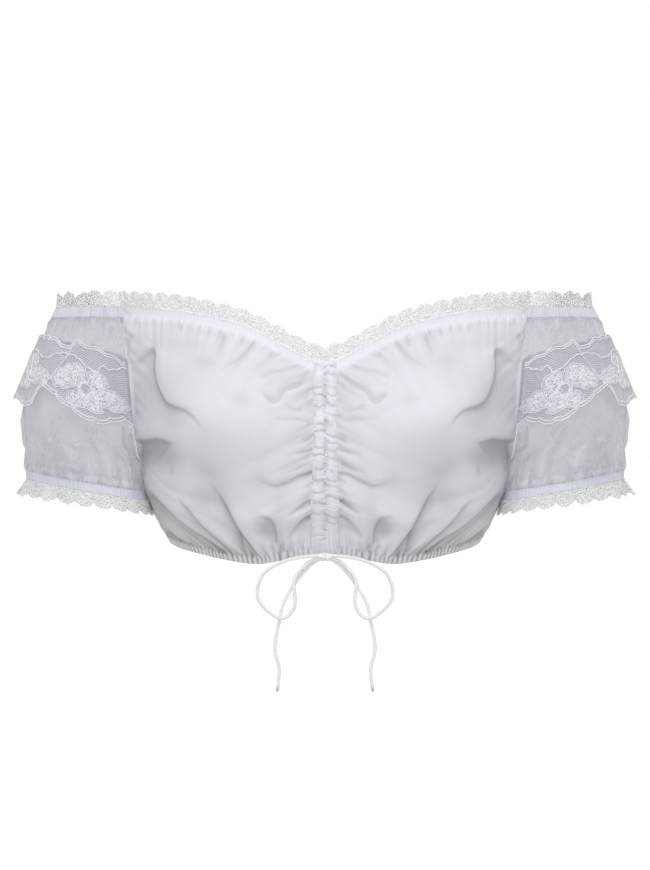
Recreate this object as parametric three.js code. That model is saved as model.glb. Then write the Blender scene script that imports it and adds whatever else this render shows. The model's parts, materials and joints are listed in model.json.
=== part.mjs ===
// Cropped off-shoulder dirndl blouse, worn shape, hollow: a gathered front and back, short sheer sleeves
// with a lace flounce, a ruched drawstring channel down the centre front with its cord tied in a bow,
// and a scalloped lace edging round the neckline and both cuffs.
//
// Millimetres. +X is the wearer's left, -Y the front, +Z up. The origin is in the middle of the neckline
// opening, level with the tops of the sleeves, where the elastic holds the blouse on its wearer.
// Cloth pieces are walls worked out row by row from the same surfaces, 0.3 mm apart at the seams.

import * as THREE from "three";

// Driving dimensions
const CLOTH = 1.2; // body cloth with its turned edges
const SHEER = 1.0; // organza and lace
const SEAM_GAP = 0.3;
const TOP_Z = -9; // where front, back and sleeve meet at the neckline
const UNDERARM_Z = -141;
const SIDE_HEM_Z = -216;
const ARMHOLE_FRONT = 62; // how far the armhole edge stands ahead of the side seam at the neckline
const ARMHOLE_BACK = 54;
const CASING_HEIGHT = 10; // elastic casing at neckline and hem
const SNUG = 0.6; // how far the elastic itself stands off the figure

// Over how much height, or share of the width, the cloth swells from the edges that hold it.
const RELEASE = { neck: 26, cup: 30, hem: 30, foldHem: 9, foldSide: 0.06, backSide: 0.1 };
const FRONT_SLACK = 0.35; // how much more the slack stands off at the centre than at the sides

const BUST = { x: 84, z: -112, out: 25, spreadX: 46, spreadZ: 44 };
const CENTRE_VALLEY = { depth: 9, halfWidth: 17 };

const HEM_GATHERS = { front: 36, back: 28, raise: 1.6 };
const NECK_GATHERS = { front: 20, back: 14, raise: 1.4, fall: 30, fullest: 0.3 };
const SLEEVE_GATHERS = { head: 8, cuff: 8, raise: 1.1, fall: 0.16 };

const CUFF_IN_Z = -180; // lower edge of the cuff casing, next to the body
const CUFF_OUT_Z = -160; // and on the arm's outer side
const HEAD_BAND = 0.055; // share of the sleeve's height taken by its upper casing
const CUFF_BAND = 0.046;
const SLEEVE_CLEARANCE = 0.7;

const LACE = { seat: 0.9, height: 14, scallop: 3.6, ruffle: 2.6 }; // seat: its edge over the casing
const SCALLOPS = { front: 26, sleeve: 12, back: 24, cuff: 22 };
const SCALLOP_SAMPLES = 3;

const CHANNEL = { halfWidth: 9.5, height: 1.0, from: 0.01, to: 0.985, columns: 6 };
const PUCKERS = { count: 15, raise: 1.7, flattest: 0.1 };
const CORD = { radius: 1.5, sides: 8 };

// The figure under the cloth. level: height; halfWidth: half width of the section; front, back: half depths.
const FIGURE = [
  { level: -240, halfWidth: 136, front: 92, back: 84 },
  { level: -216, halfWidth: 138.5, front: 98, back: 86 },
  { level: -178, halfWidth: 147, front: 108, back: 88 },
  { level: -141, halfWidth: 157, front: 115, back: 90 },
  { level: -116, halfWidth: 170, front: 117, back: 92 },
  { level: -88, halfWidth: 183, front: 116, back: 93 },
  { level: -52, halfWidth: 198, front: 113, back: 92 },
  { level: -8, halfWidth: 216, front: 110, back: 88 },
];

// How far the slack cloth stands off the figure, by its height over the hem.
const BILLOW = [
  { rise: 0, out: 0 },
  { rise: 11, out: 4.5 },
  { rise: 26, out: 9.5 },
  { rise: 38, out: 12.5 },
  { rise: 55, out: 11.5 },
  { rise: 75, out: 9.5 },
  { rise: 100, out: 7 },
  { rise: 130, out: 6 },
  { rise: 210, out: 5 },
];

// Upper and lower edges. share: 0 at the centre, 1 at the side seam or armhole.
const FRONT_TOP = [
  { share: 0, z: -60 },
  { share: 0.09, z: -54 },
  { share: 0.2, z: -42 },
  { share: 0.33, z: -28.5 },
  { share: 0.46, z: -21 },
  { share: 0.57, z: -16.5 },
  { share: 0.68, z: -13 },
  { share: 1, z: TOP_Z },
];
const FRONT_HEM = [
  { share: 0, z: -223.5 },
  { share: 0.15, z: -229 },
  { share: 0.28, z: -233.5 },
  { share: 0.45, z: -230 },
  { share: 0.6, z: -225.5 },
  { share: 1, z: SIDE_HEM_Z },
];
const BACK_TOP = [
  { share: 0, z: -68 },
  { share: 0.3, z: -66 },
  { share: 0.6, z: -50 },
  { share: 0.85, z: -22 },
  { share: 1, z: TOP_Z },
];
const BACK_HEM = [
  { share: 0, z: -222 },
  { share: 0.5, z: -220 },
  { share: 1, z: SIDE_HEM_Z },
];

// The largest folds of each half front, mirrored on the other half. path: [x, z] seen from the front;
// ridge: height along the path; roll: the height that the cloth on its left, going along it, gains
// over the cloth on its right; width: half width of the fold.
const FRONT_FOLDS = [
  { name: "armpit roll", ridge: 0, roll: 7, width: 11,
    path: [[146, -44], [145, -70], [135, -95], [112, -108], [97, -135]] },
  { name: "armhole shelf", ridge: 0, roll: -6, width: 9,
    path: [[166, -127], [145, -126], [120, -130]] },
  { name: "low side fold", ridge: -4, roll: 4, width: 6,
    path: [[152, -166], [132, -187], [106, -208], [84, -226]] },
  { name: "second low fold", ridge: -4, roll: 3, width: 5.5,
    path: [[128, -172], [110, -194], [88, -212], [72, -227]] },
  { name: "under-cup trough", ridge: -5, roll: 2, width: 8,
    path: [[110, -146], [90, -165], [78, -190], [67, -225]] },
  { name: "hem dent", ridge: -5, roll: 0, width: 10,
    path: [[62, -194], [53, -203], [48, -214]] },
  { name: "hanging dimple", ridge: -3.5, roll: 0, width: 6,
    path: [[60, -78], [47, -94], [32, -87], [16, -72]] },
  { name: "upper hollow", ridge: -4, roll: 0, width: 11,
    path: [[96, -52], [88, -74], [72, -92]] },
  { name: "channel crease high", ridge: -2.4, roll: 0, width: 5,
    path: [[11, -104], [34, -108], [60, -104]] },
  { name: "channel crease low", ridge: -3.4, roll: 0, width: 6,
    path: [[11, -156], [30, -162], [52, -184]] },
  { name: "channel crease hem", ridge: -3, roll: 0, width: 5,
    path: [[11, -182], [24, -194], [38, -214]] },
];
const FOLD_SAMPLES = 14;
const FOLD_ENDS = { fadeIn: 0.25, fadeOut: 0.12, kept: 0.35, rollReach: 1.6 };

// Shallow upright folds between the back's elastics, which sway a little sideways.
const BACK_FOLDS = { count: 9, out: 3, sway: 1.3, swayWaves: 5 };

// The sleeve from its cuff up. level: share of its height; halfDepth: front to back; out: outermost x.
const SLEEVE = [
  { level: 0, halfDepth: 52, out: 268 },
  { level: 0.05, halfDepth: 53, out: 268.5 },
  { level: 0.2, halfDepth: 62, out: 270 },
  { level: 0.4, halfDepth: 69, out: 272 },
  { level: 0.6, halfDepth: 71, out: 265 },
  { level: 0.8, halfDepth: 68, out: 255 },
  { level: 0.92, halfDepth: 63, out: 247 },
  { level: 1, halfDepth: 60, out: 241 },
];
const SLEEVE_FOLDS = { waves: 5, out: 1.6, ends: 0.3 };

// The flounce's edges as shares of the sleeve's height, at the arm's outer side and at the armholes.
const FLOUNCE = { topOut: 0.84, topIn: 0.74, hemOut: 0.44, hemIn: 0.37, reach: 0.97 };
const FLOUNCE_HANG = { off: 1.2, flare: 6, waves: 3, waveOut: 2.2, curl: 1.4, sides: 0.6 };
const FLOUNCE_GRID = { levels: [0, 0.3, 0.65, 1], columns: 30 };

// Cord routes for the +X side, chosen by hand: from the knot, round and back to it; and the free end.
const KNOT = { y: -104.2, z: -226.6, halfLength: 4.4, endRadius: 2.9, radius: 3.9 };
const LOOP_ROUTE = [
  [4.9, -106.0, -225.4], [14, -106.2, -225.8], [29, -105.9, -228.2], [41, -105.6, -232.6],
  [51.5, -104.8, -239.4], [57, -104.0, -248.6], [58.3, -103.2, -257.2], [57, -102.8, -264.2],
  [52, -102.8, -270.6], [45, -103.2, -276.2], [39.4, -103.6, -279.2], [33.6, -104.0, -278.4],
  [29.2, -104.4, -274.4], [26.2, -104.6, -268.6], [25.8, -104.6, -260.6], [26.8, -104.4, -252.4],
  [26.4, -104.0, -246.4], [23, -103.4, -240.6], [15, -102.8, -233.2], [5.4, -102.6, -228.2],
];
const FREE_END_ROUTE = [
  [3.3, -101.9, -230.9], [11.6, -100.2, -236.8], [19.6, -99.8, -243.0], [25.6, -99.6, -248.8],
  [30.6, -99.6, -256.4], [35.2, -99.6, -265.0], [38, -99.6, -274.2], [39.4, -99.6, -282.4],
  [41.6, -99.8, -291.8], [43, -100.0, -301.6], [42.8, -100.2, -309.8], [40.4, -100.4, -317.8],
  [39.4, -100.4, -325.4], [40.2, -100.4, -334.2], [41.3, -100.4, -343.0],
];

const clamp = (value, low, high) => Math.min(high, Math.max(low, value));
const mix = (a, b, share) => a + (b - a) * share;
const TOUCHING = 0.01;
const smooth = (value) => {
  const t = clamp(value, 0, 1);
  return t * t * (3 - 2 * t);
};
const bell = (distance, width) => Math.exp(-((distance / width) ** 2));

// A smooth curve through a table's column, held flat past both ends.
function lookUp(table, key, at, column) {
  const last = table.length - 1;
  const x = clamp(at, table[0][key], table[last][key]);
  let i = 0;
  while (i < last - 1 && x > table[i + 1][key]) i += 1;
  const slope = (k) => {
    const a = table[Math.max(k - 1, 0)];
    const b = table[Math.min(k + 1, last)];
    return (b[column] - a[column]) / (b[key] - a[key]);
  };
  const span = table[i + 1][key] - table[i][key];
  const t = (x - table[i][key]) / span;
  const [p0, p1] = [table[i][column], table[i + 1][column]];
  const [m0, m1] = [slope(i) * span, slope(i + 1) * span];
  return (
    (2 * t ** 3 - 3 * t ** 2 + 1) * p0 +
    (t ** 3 - 2 * t ** 2 + t) * m0 +
    (3 * t ** 2 - 2 * t ** 3) * p1 +
    (t ** 3 - t ** 2) * m1
  );
}

// The point and outward direction of the figure's section at a height, angle 0 at the centre front.
function figureAt(angle, z) {
  const halfWidth = lookUp(FIGURE, "level", z, "halfWidth");
  const depth = lookUp(FIGURE, "level", z, Math.cos(angle) > 0 ? "front" : "back");
  const [s, c] = [Math.sin(angle), Math.cos(angle)];
  return {
    point: new THREE.Vector3(halfWidth * s, -depth * c, z),
    outward: new THREE.Vector3(s / halfWidth, -c / depth, 0).normalize(),
  };
}

// How far the armhole edge stands ahead of, or behind, the side seam at a height.
function armholeReach(z, full) {
  const share = clamp((z - UNDERARM_Z) / (TOP_Z - UNDERARM_Z), 0, 1);
  return Math.max(full * Math.sqrt(1 - (1 - share) ** 2), SEAM_GAP / 2);
}

// The angle from the panel's centre to its side seam or armhole edge at a height.
function panelAngle(z, panel) {
  const full = panel === "front" ? ARMHOLE_FRONT : ARMHOLE_BACK;
  return Math.acos(armholeReach(z, full) / lookUp(FIGURE, "level", z, panel));
}

// Each fold's path as evenly spaced points.
const foldLines = FRONT_FOLDS.map(({ path }) =>
  new THREE.CatmullRomCurve3(path.map(([x, z]) => new THREE.Vector3(x, 0, z))).getSpacedPoints(FOLD_SAMPLES),
);

// Height that the folds give the front cloth at a point seen from the front.
function frontFolds(x, z) {
  const here = new THREE.Vector3(Math.abs(x), 0, z);
  return FRONT_FOLDS.reduce((sum, { ridge, roll, width }, index) => {
    const line = foldLines[index];
    let nearest = 0;
    line.forEach((p, i) => {
      if (p.distanceTo(here) < line[nearest].distanceTo(here)) nearest = i;
    });
    const from = line[Math.max(nearest - 1, 0)];
    const along = line[Math.min(nearest + 1, FOLD_SAMPLES)].clone().sub(from).normalize();
    const off = here.clone().sub(line[nearest]);
    const side = (along.x * off.z - along.z * off.x) / width;
    const share = nearest / FOLD_SAMPLES;
    const ends = smooth(share / FOLD_ENDS.fadeIn) * smooth((1 - share) / FOLD_ENDS.fadeOut + FOLD_ENDS.kept);
    const fade = bell(off.length(), width * FOLD_ENDS.rollReach);
    return sum + ends * (ridge * bell(off.length(), width) + roll * side * fade);
  }, 0);
}

// A panel of the body: share runs from one side edge (-1) to the other (1), rise from the hem (0) to
// the top (1).
function bodyPanel(panel) {
  const front = panel === "front";
  const [top, hem] = front ? [FRONT_TOP, FRONT_HEM] : [BACK_TOP, BACK_HEM];
  return (share, rise) => {
    const across = Math.abs(share);
    const topZ = lookUp(top, "share", across, "z");
    const hemZ = lookUp(hem, "share", across, "z");
    const z = mix(hemZ, topZ, rise);
    const angle = share * panelAngle(mix(SIDE_HEM_Z, TOP_Z, rise), panel);
    const { point, outward } = figureAt(front ? angle : Math.PI + angle, z);
    const held = smooth((topZ - z) / RELEASE.neck);
    let out = lookUp(BILLOW, "rise", z - hemZ, "out") * (1 + FRONT_SLACK * Math.cos(angle) ** 2);
    if (front) {
      const cup = bell(Math.abs(point.x) - BUST.x, BUST.spreadX) * bell(z - BUST.z, BUST.spreadZ);
      const sewn = smooth((topZ - z) / RELEASE.cup) * smooth((z - hemZ) / RELEASE.hem);
      const inside = smooth((1 - across) / RELEASE.foldSide);
      out += BUST.out * cup * held;
      out -= CENTRE_VALLEY.depth * bell(point.x, CENTRE_VALLEY.halfWidth) * sewn;
      out += frontFolds(point.x, z) * inside * smooth((z - hemZ) / RELEASE.foldHem);
    } else {
      const sway = BACK_FOLDS.sway * Math.sin(BACK_FOLDS.swayWaves * share);
      const waves = Math.cos(Math.PI * BACK_FOLDS.count * share + sway);
      const loose = smooth((z - hemZ) / RELEASE.hem) * smooth((1 - across) / RELEASE.backSide);
      out += BACK_FOLDS.out * waves * loose;
    }
    return point.addScaledVector(outward, mix(SNUG, out, held));
  };
}

const frontPanel = bodyPanel("front");
const backPanel = bodyPanel("back");

// The sleeve for the +X arm: share runs round it from the front armhole (-1) over the arm's outer side (0)
// to the back armhole (1), rise from the cuff (0) to the neckline (1). Under the armpit its edges meet.
function sleeve(share, rise) {
  const inZ = mix(CUFF_IN_Z, TOP_Z, rise);
  const outZ = mix(CUFF_OUT_Z, TOP_Z, rise);
  const bodyRise = (inZ - SIDE_HEM_Z) / (TOP_Z - SIDE_HEM_Z);
  const closed = inZ <= UNDERARM_Z + TOUCHING;
  const front = frontPanel(1, bodyRise);
  const back = backPanel(-1, bodyRise);
  if (closed) {
    front.y = 0;
    back.y = 0;
    back.x = front.x;
  }
  const middle = { x: (front.x + back.x) / 2 + SLEEVE_CLEARANCE, y: (front.y + back.y) / 2 };
  const chord = (back.y - front.y) / 2;
  const halfDepth = Math.max(lookUp(SLEEVE, "level", rise, "halfDepth"), chord);
  const end = Math.PI - Math.asin(chord / halfDepth);
  const out = lookUp(SLEEVE, "level", rise, "out");
  const halfWidth = (out - middle.x) / (1 - Math.cos(end));
  const angle = share * end;
  const inward = (1 - Math.cos(angle)) / (1 - Math.cos(end));
  const between = smooth(rise / SLEEVE_FOLDS.ends) * smooth((1 - rise) / SLEEVE_FOLDS.ends);
  const slack = between * 4 * inward * (1 - inward);
  const puff = SLEEVE_FOLDS.out * slack * Math.cos(Math.PI * SLEEVE_FOLDS.waves * share);
  return new THREE.Vector3(
    out - halfWidth + (halfWidth + puff) * Math.cos(angle) + ((back.x - front.x) / 2) * share * inward,
    middle.y + (halfDepth + puff) * Math.sin(angle),
    mix(outZ, inZ, inward),
  );
}

// Outward direction of a surface whose share and rise run anticlockwise seen from outside.
function normalOf(surface, share, rise) {
  const step = 1e-3;
  const across = surface(share + step, rise).sub(surface(share - step, rise));
  const up = surface(share, rise + step).sub(surface(share, rise - step));
  return across.cross(up).normalize();
}

const evenShares = (count) => Array.from({ length: count + 1 }, (_, i) => (2 * i) / count - 1);

// One row of a cloth wall: where its two faces run. lift moves the wall out, raise only its outer face.
function wallRow(surface, rise, count, { thick, lift = 0, raise = () => 0 }) {
  const shares = evenShares(count);
  const points = shares.map((share) => surface(share, rise));
  const normals = shares.map((share) => normalOf(surface, share, rise));
  if (points[0].distanceTo(points[count]) < TOUCHING) {
    normals[0].add(normals[count]).normalize();
    normals[count] = normals[0];
    points[count] = points[0];
  }
  return shares.map((share, i) => ({
    share,
    outer: points[i].clone().addScaledVector(normals[i], lift + raise(share, rise)),
    inner: points[i].clone().addScaledVector(normals[i], lift - thick),
  }));
}

// A closed wall through rows of points, which may differ in number. joined(row) says where the two side
// edges meet and so need no rim.
function wallGeometry(rows, joined = () => false) {
  const corners = [];
  const triangle = (a, b, c) => corners.push(a, b, c);
  const quad = (a, b, c, d) => {
    triangle(a, b, c);
    triangle(a, c, d);
  };
  for (let r = 0; r < rows.length - 1; r += 1) {
    const [low, high] = [rows[r], rows[r + 1]];
    let [i, j] = [0, 0];
    while (i < low.length - 1 || j < high.length - 1) {
      const lowNext = j === high.length - 1 || (i < low.length - 1 && low[i + 1].share <= high[j + 1].share);
      const tip = lowNext ? low[i + 1] : high[j + 1];
      triangle(low[i].outer, tip.outer, high[j].outer);
      triangle(low[i].inner, high[j].inner, tip.inner);
      if (lowNext) i += 1;
      else j += 1;
    }
    if (!(joined(r) && joined(r + 1))) {
      const [lowEnd, highEnd] = [low[low.length - 1], high[high.length - 1]];
      quad(low[0].inner, low[0].outer, high[0].outer, high[0].inner);
      quad(lowEnd.outer, lowEnd.inner, highEnd.inner, highEnd.outer);
    }
  }
  const [bottom, top] = [rows[0], rows[rows.length - 1]];
  for (let i = 0; i < bottom.length - 1; i += 1)
    quad(bottom[i].inner, bottom[i + 1].inner, bottom[i + 1].outer, bottom[i].outer);
  for (let i = 0; i < top.length - 1; i += 1)
    quad(top[i].outer, top[i + 1].outer, top[i + 1].inner, top[i].inner);
  return new THREE.BufferGeometry().setFromPoints(corners);
}

// The same wall for the other side of the body.
function mirrored(geometry) {
  const copy = geometry.clone().scale(-1, 1, 1);
  const position = copy.getAttribute("position");
  const corner = (i) => new THREE.Vector3().fromBufferAttribute(position, i);
  const corners = [];
  for (let i = 0; i < position.count; i += 3) corners.push(corner(i), corner(i + 2), corner(i + 1));
  return new THREE.BufferGeometry().setFromPoints(corners);
}

// Gathers raised in the outer face, a peak and a valley for each.
const gathers = (share, count) => 0.5 - 0.5 * Math.cos(Math.PI * count * (share + 1));

function bodyWall(panel, rows) {
  const surface = panel === "front" ? frontPanel : backPanel;
  const [top, hem] = panel === "front" ? [FRONT_TOP, FRONT_HEM] : [BACK_TOP, BACK_HEM];
  const raise = (share, rise) => {
    const topZ = lookUp(top, "share", Math.abs(share), "z");
    const hemZ = lookUp(hem, "share", Math.abs(share), "z");
    const height = topZ - hemZ;
    const hemFade = smooth(1.6 - (rise * height) / CASING_HEIGHT);
    const under = ((1 - rise) * height) / NECK_GATHERS.fall;
    const neckFade = smooth(under / NECK_GATHERS.fullest) * smooth(2 - under);
    return (
      HEM_GATHERS.raise * gathers(share, HEM_GATHERS[panel]) * hemFade +
      NECK_GATHERS.raise * gathers(share, NECK_GATHERS[panel]) * neckFade
    );
  };
  return wallGeometry(rows.map(({ rise, count }) => wallRow(surface, rise, count, { thick: CLOTH, raise })));
}

function frontGeometry() {
  const hemCount = HEM_GATHERS.front * 2;
  const neckCount = SCALLOPS.front * SCALLOP_SAMPLES;
  const middle = [0.16, 0.22, 0.28, 0.34, 0.4, 0.46, 0.52, 0.58, 0.64, 0.7, 0.77];
  return bodyWall("front", [
    { rise: 0, count: hemCount },
    { rise: 0.05, count: hemCount },
    { rise: 0.1, count: hemCount },
    ...middle.map((rise) => ({ rise, count: 56 })),
    { rise: 0.84, count: neckCount },
    { rise: 0.93, count: neckCount },
    { rise: 1, count: neckCount },
  ]);
}

function backGeometry() {
  const hemCount = HEM_GATHERS.back * 2;
  const neckCount = SCALLOPS.back * SCALLOP_SAMPLES;
  const middle = [0.14, 0.25, 0.38, 0.52, 0.66].map((rise) => ({ rise, count: 40 }));
  return bodyWall("back", [
    { rise: 0, count: hemCount },
    { rise: 0.06, count: hemCount },
    ...middle,
    { rise: 0.82, count: neckCount },
    { rise: 1, count: neckCount },
  ]);
}

// The two drawn-up tunnels on the centre front, one strip sewn along its edges and its middle.
function channelGeometry() {
  const { from, to } = CHANNEL;
  const steps = PUCKERS.count * 2;
  const tunnels = (share) => Math.abs(Math.sin(Math.PI * share));
  const pucker = (rise) => {
    const turn = (2 * Math.PI * PUCKERS.count * (rise - from)) / (to - from);
    return mix(PUCKERS.flattest, 1, 0.5 + 0.5 * Math.cos(turn));
  };
  const narrow = CHANNEL.halfWidth / frontPanel(1, 0.4).x;
  const strip = (share, rise) => frontPanel(share * narrow, rise);
  const options = {
    thick: CHANNEL.height,
    lift: CHANNEL.height + SEAM_GAP + HEM_GATHERS.raise,
    raise: (share, rise) => PUCKERS.raise * tunnels(share) * pucker(rise),
  };
  const rises = Array.from({ length: steps + 1 }, (_, i) => mix(from, to, i / steps));
  return wallGeometry(rises.map((rise) => wallRow(strip, rise, CHANNEL.columns, options)));
}

// Gathers of the sleeve at its head and its cuff.
function sleeveRaise(share, rise) {
  const cuff = gathers(share, SLEEVE_GATHERS.cuff) * smooth(1 - (rise - CUFF_BAND) / SLEEVE_GATHERS.fall);
  const head = gathers(share, SLEEVE_GATHERS.head) * smooth(1 - (1 - HEAD_BAND - rise) / SLEEVE_GATHERS.fall);
  return SLEEVE_GATHERS.raise * (cuff + head);
}

const underarmRise = (UNDERARM_Z - CUFF_IN_Z) / (TOP_Z - CUFF_IN_Z);
const seamRise = SEAM_GAP / (TOP_Z - CUFF_IN_Z);
const SLEEVE_COLUMNS = SCALLOPS.sleeve * SCALLOP_SAMPLES;

// The sleeve's wall through a list of heights: a whole ring below the underarm, open to the armhole above it.
function sleeveWall(rises, thick) {
  const rows = rises.map((rise) => wallRow(sleeve, rise, SLEEVE_COLUMNS, { thick, raise: sleeveRaise }));
  return wallGeometry(rows, (row) => rises[row] <= underarmRise);
}

const sleeveMiddle = [0.12, underarmRise, 0.32, 0.43, 0.55, 0.67, 0.79];
const sleeveGeometry = () =>
  sleeveWall([CUFF_BAND + seamRise, ...sleeveMiddle, 1 - HEAD_BAND - seamRise], SHEER);
const headCasingGeometry = () => sleeveWall([1 - HEAD_BAND, 1], CLOTH);
const cuffCasingGeometry = () => sleeveWall([0, CUFF_BAND], CLOTH);

// The flounce hangs over the sleeve from armhole to armhole, free along its lower edge.
function flounceGeometry() {
  const { off, flare, waves, waveOut, curl, sides } = FLOUNCE_HANG;
  const surface = (share, rise) => {
    const top = mix(FLOUNCE.topOut, FLOUNCE.topIn, share * share);
    const hem = mix(FLOUNCE.hemOut, FLOUNCE.hemIn, Math.abs(share));
    return sleeve(share * FLOUNCE.reach, mix(hem, top, rise));
  };
  const hang = (share, rise) => {
    const wave = 0.5 + 0.5 * Math.cos(2 * Math.PI * waves * share);
    return off + (1 - rise) ** curl * (flare * Math.cos((Math.PI / 2) * share) ** sides + waveOut * wave);
  };
  const rows = FLOUNCE_GRID.levels.map((rise) =>
    wallRow(surface, rise, FLOUNCE_GRID.columns, { thick: 0 }).map(({ share, outer }) => {
      const normal = normalOf(surface, share, rise);
      const inner = outer.clone().addScaledVector(normal, hang(share, rise));
      return { share, outer: inner.clone().addScaledVector(normal, SHEER), inner };
    }),
  );
  return wallGeometry(rows);
}

// Points along an edge with the direction in which the cloth ends there and the way out of the body.
function edgeFrames(surface, rise, up, shares) {
  return shares.map((share) => {
    const point = surface(share, rise);
    const inside = surface(share, rise - up * 0.02);
    return { point, away: point.clone().sub(inside).normalize(), outward: normalOf(surface, share, rise) };
  });
}

// A ring of scalloped lace that stands up from an edge or hangs from it. flare and ruffle say how far it
// leans out and waves at each turn round the ring.
function laceRing(frames, scallops, { levels, flare, ruffle }) {
  const last = frames.length - 1;
  const rows = levels.map((level) =>
    frames.map((frame, i) => {
      const turn = i / last;
      const scallop = LACE.scallop * (1 - Math.abs(Math.sin(Math.PI * scallops * turn)));
      const wave = ruffle(turn) * Math.sin(2 * Math.PI * (scallops / 2) * turn);
      const reach = LACE.seat + level * (LACE.height - scallop);
      const base = frame.point
        .clone()
        .addScaledVector(frame.away, reach)
        .addScaledVector(frame.outward, level * (flare(turn) + wave));
      const inner = base.clone().addScaledVector(frame.outward, -SHEER);
      return { share: 2 * turn - 1, outer: base, inner };
    }),
  );
  return wallGeometry(rows, () => true);
}

// Neckline lace: front, left sleeve, back and right sleeve in one ring that starts at the right armhole.
function neckLaceGeometry() {
  const edge = (surface, scallops) => edgeFrames(surface, 1, 1, evenShares(scallops * SCALLOP_SAMPLES));
  const flip = new THREE.Vector3(-1, 1, 1);
  const mirror = (frame) => ({
    point: frame.point.clone().multiply(flip),
    away: frame.away.clone().multiply(flip),
    outward: frame.outward.clone().multiply(flip),
  });
  const left = edge(sleeve, SCALLOPS.sleeve);
  const right = left.map(mirror).reverse();
  const front = edge(frontPanel, SCALLOPS.front).slice(1, -1);
  const back = edge(backPanel, SCALLOPS.back).slice(1, -1);
  const frames = [right[right.length - 1], ...front, ...left, ...back, ...right];
  const total = SCALLOPS.front + 2 * SCALLOPS.sleeve + SCALLOPS.back;
  const sleeveStart = SCALLOPS.front / total;
  const sleeveTurn = SCALLOPS.sleeve / total;
  const onSleeve = (turn) => {
    const middles = [sleeveStart + sleeveTurn / 2, 1 - sleeveTurn / 2];
    const near = middles.map((middle) => Math.abs(turn - middle) / sleeveTurn);
    return smooth((0.5 - Math.min(...near)) * 6);
  };
  return laceRing(frames, total, {
    levels: [0, 1],
    flare: (turn) => 1.5 * onSleeve(turn),
    ruffle: (turn) => LACE.ruffle * onSleeve(turn),
  });
}

function cuffLaceGeometry() {
  const frames = edgeFrames(sleeve, 0, -1, evenShares(SCALLOPS.cuff * SCALLOP_SAMPLES));
  const outside = (turn) => 0.5 - 0.5 * Math.cos(2 * Math.PI * turn);
  return laceRing(frames, SCALLOPS.cuff, {
    levels: [1, 0],
    flare: (turn) => mix(0, 9, outside(turn)),
    ruffle: (turn) => LACE.ruffle * outside(turn),
  });
}

// A cord along a route of points.
function cordGeometry(route) {
  const path = new THREE.CatmullRomCurve3(route.map((p) => new THREE.Vector3(...p)));
  const corners = Array.from({ length: CORD.sides }, (_, i) => {
    const angle = (2 * Math.PI * i) / CORD.sides;
    return new THREE.Vector2(CORD.radius * Math.cos(angle), CORD.radius * Math.sin(angle));
  });
  const options = { steps: route.length + 1, bevelEnabled: false, extrudePath: path };
  return new THREE.ExtrudeGeometry(new THREE.Shape(corners), options);
}

// The knot's wrap, a short barrel round the cords with its ends towards the two loops.
function knotGeometry() {
  const { y, z, halfLength, endRadius, radius } = KNOT;
  const profile = [new THREE.Vector2(0, -halfLength)];
  for (let i = -3; i <= 3; i += 1)
    profile.push(new THREE.Vector2(mix(radius, endRadius, (i / 3) ** 2), (halfLength * i) / 3));
  profile.push(new THREE.Vector2(0, halfLength));
  return new THREE.LatheGeometry(profile, 14).rotateZ(-Math.PI / 2).translate(0, y, z);
}

const finishes = {
  cloth: { color: 0xe9e9f1, roughness: 0.62, metalness: 0 },
  organza: { color: 0xc6c9cf, roughness: 0.5, metalness: 0, transparent: true, opacity: 0.6 },
  casing: { color: 0xd9dce8, roughness: 0.6, metalness: 0 },
  lace: { color: 0xeeeef0, roughness: 0.8, metalness: 0 },
  cord: { color: 0xf1f0ee, roughness: 0.5, metalness: 0 },
};

const blouse = new THREE.Group();
blouse.name = "dirndl_blouse";

function addPiece(name, geometry, finish) {
  const mesh = new THREE.Mesh(geometry, new THREE.MeshStandardMaterial(finishes[finish]));
  mesh.name = name;
  blouse.add(mesh);
}

function addPair(name, geometry, finish) {
  addPiece(`${name}_left`, geometry, finish);
  addPiece(`${name}_right`, mirrored(geometry), finish);
}

addPiece("front", frontGeometry(), "cloth");
addPiece("back", backGeometry(), "cloth");
addPiece("drawstring_channel", channelGeometry(), "cloth");
addPair("sleeve", sleeveGeometry(), "organza");
addPair("sleeve_head_casing", headCasingGeometry(), "casing");
addPair("cuff_casing", cuffCasingGeometry(), "casing");
addPair("sleeve_flounce", flounceGeometry(), "lace");
addPiece("neck_lace", neckLaceGeometry(), "lace");
addPair("cuff_lace", cuffLaceGeometry(), "lace");
addPiece("bow_knot", knotGeometry(), "cord");
addPair("bow_loop", cordGeometry(LOOP_ROUTE), "cord");
addPair("cord_end", cordGeometry(FREE_END_ROUTE), "cord");

export default blouse;
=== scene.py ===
"""Looks of the gathered off-shoulder dirndl blouse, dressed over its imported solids.

Sizes are millimetres until a mesh is made, and metres in the studio and in what Blender is told. +X is
the wearer's left, -Y the front, +Z up.
"""

import json
import logging
import math
from collections.abc import Callable
from dataclasses import dataclass
from enum import Enum
from typing import ClassVar

import bmesh
import bpy
import numpy as np
from mathutils import Matrix

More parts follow.
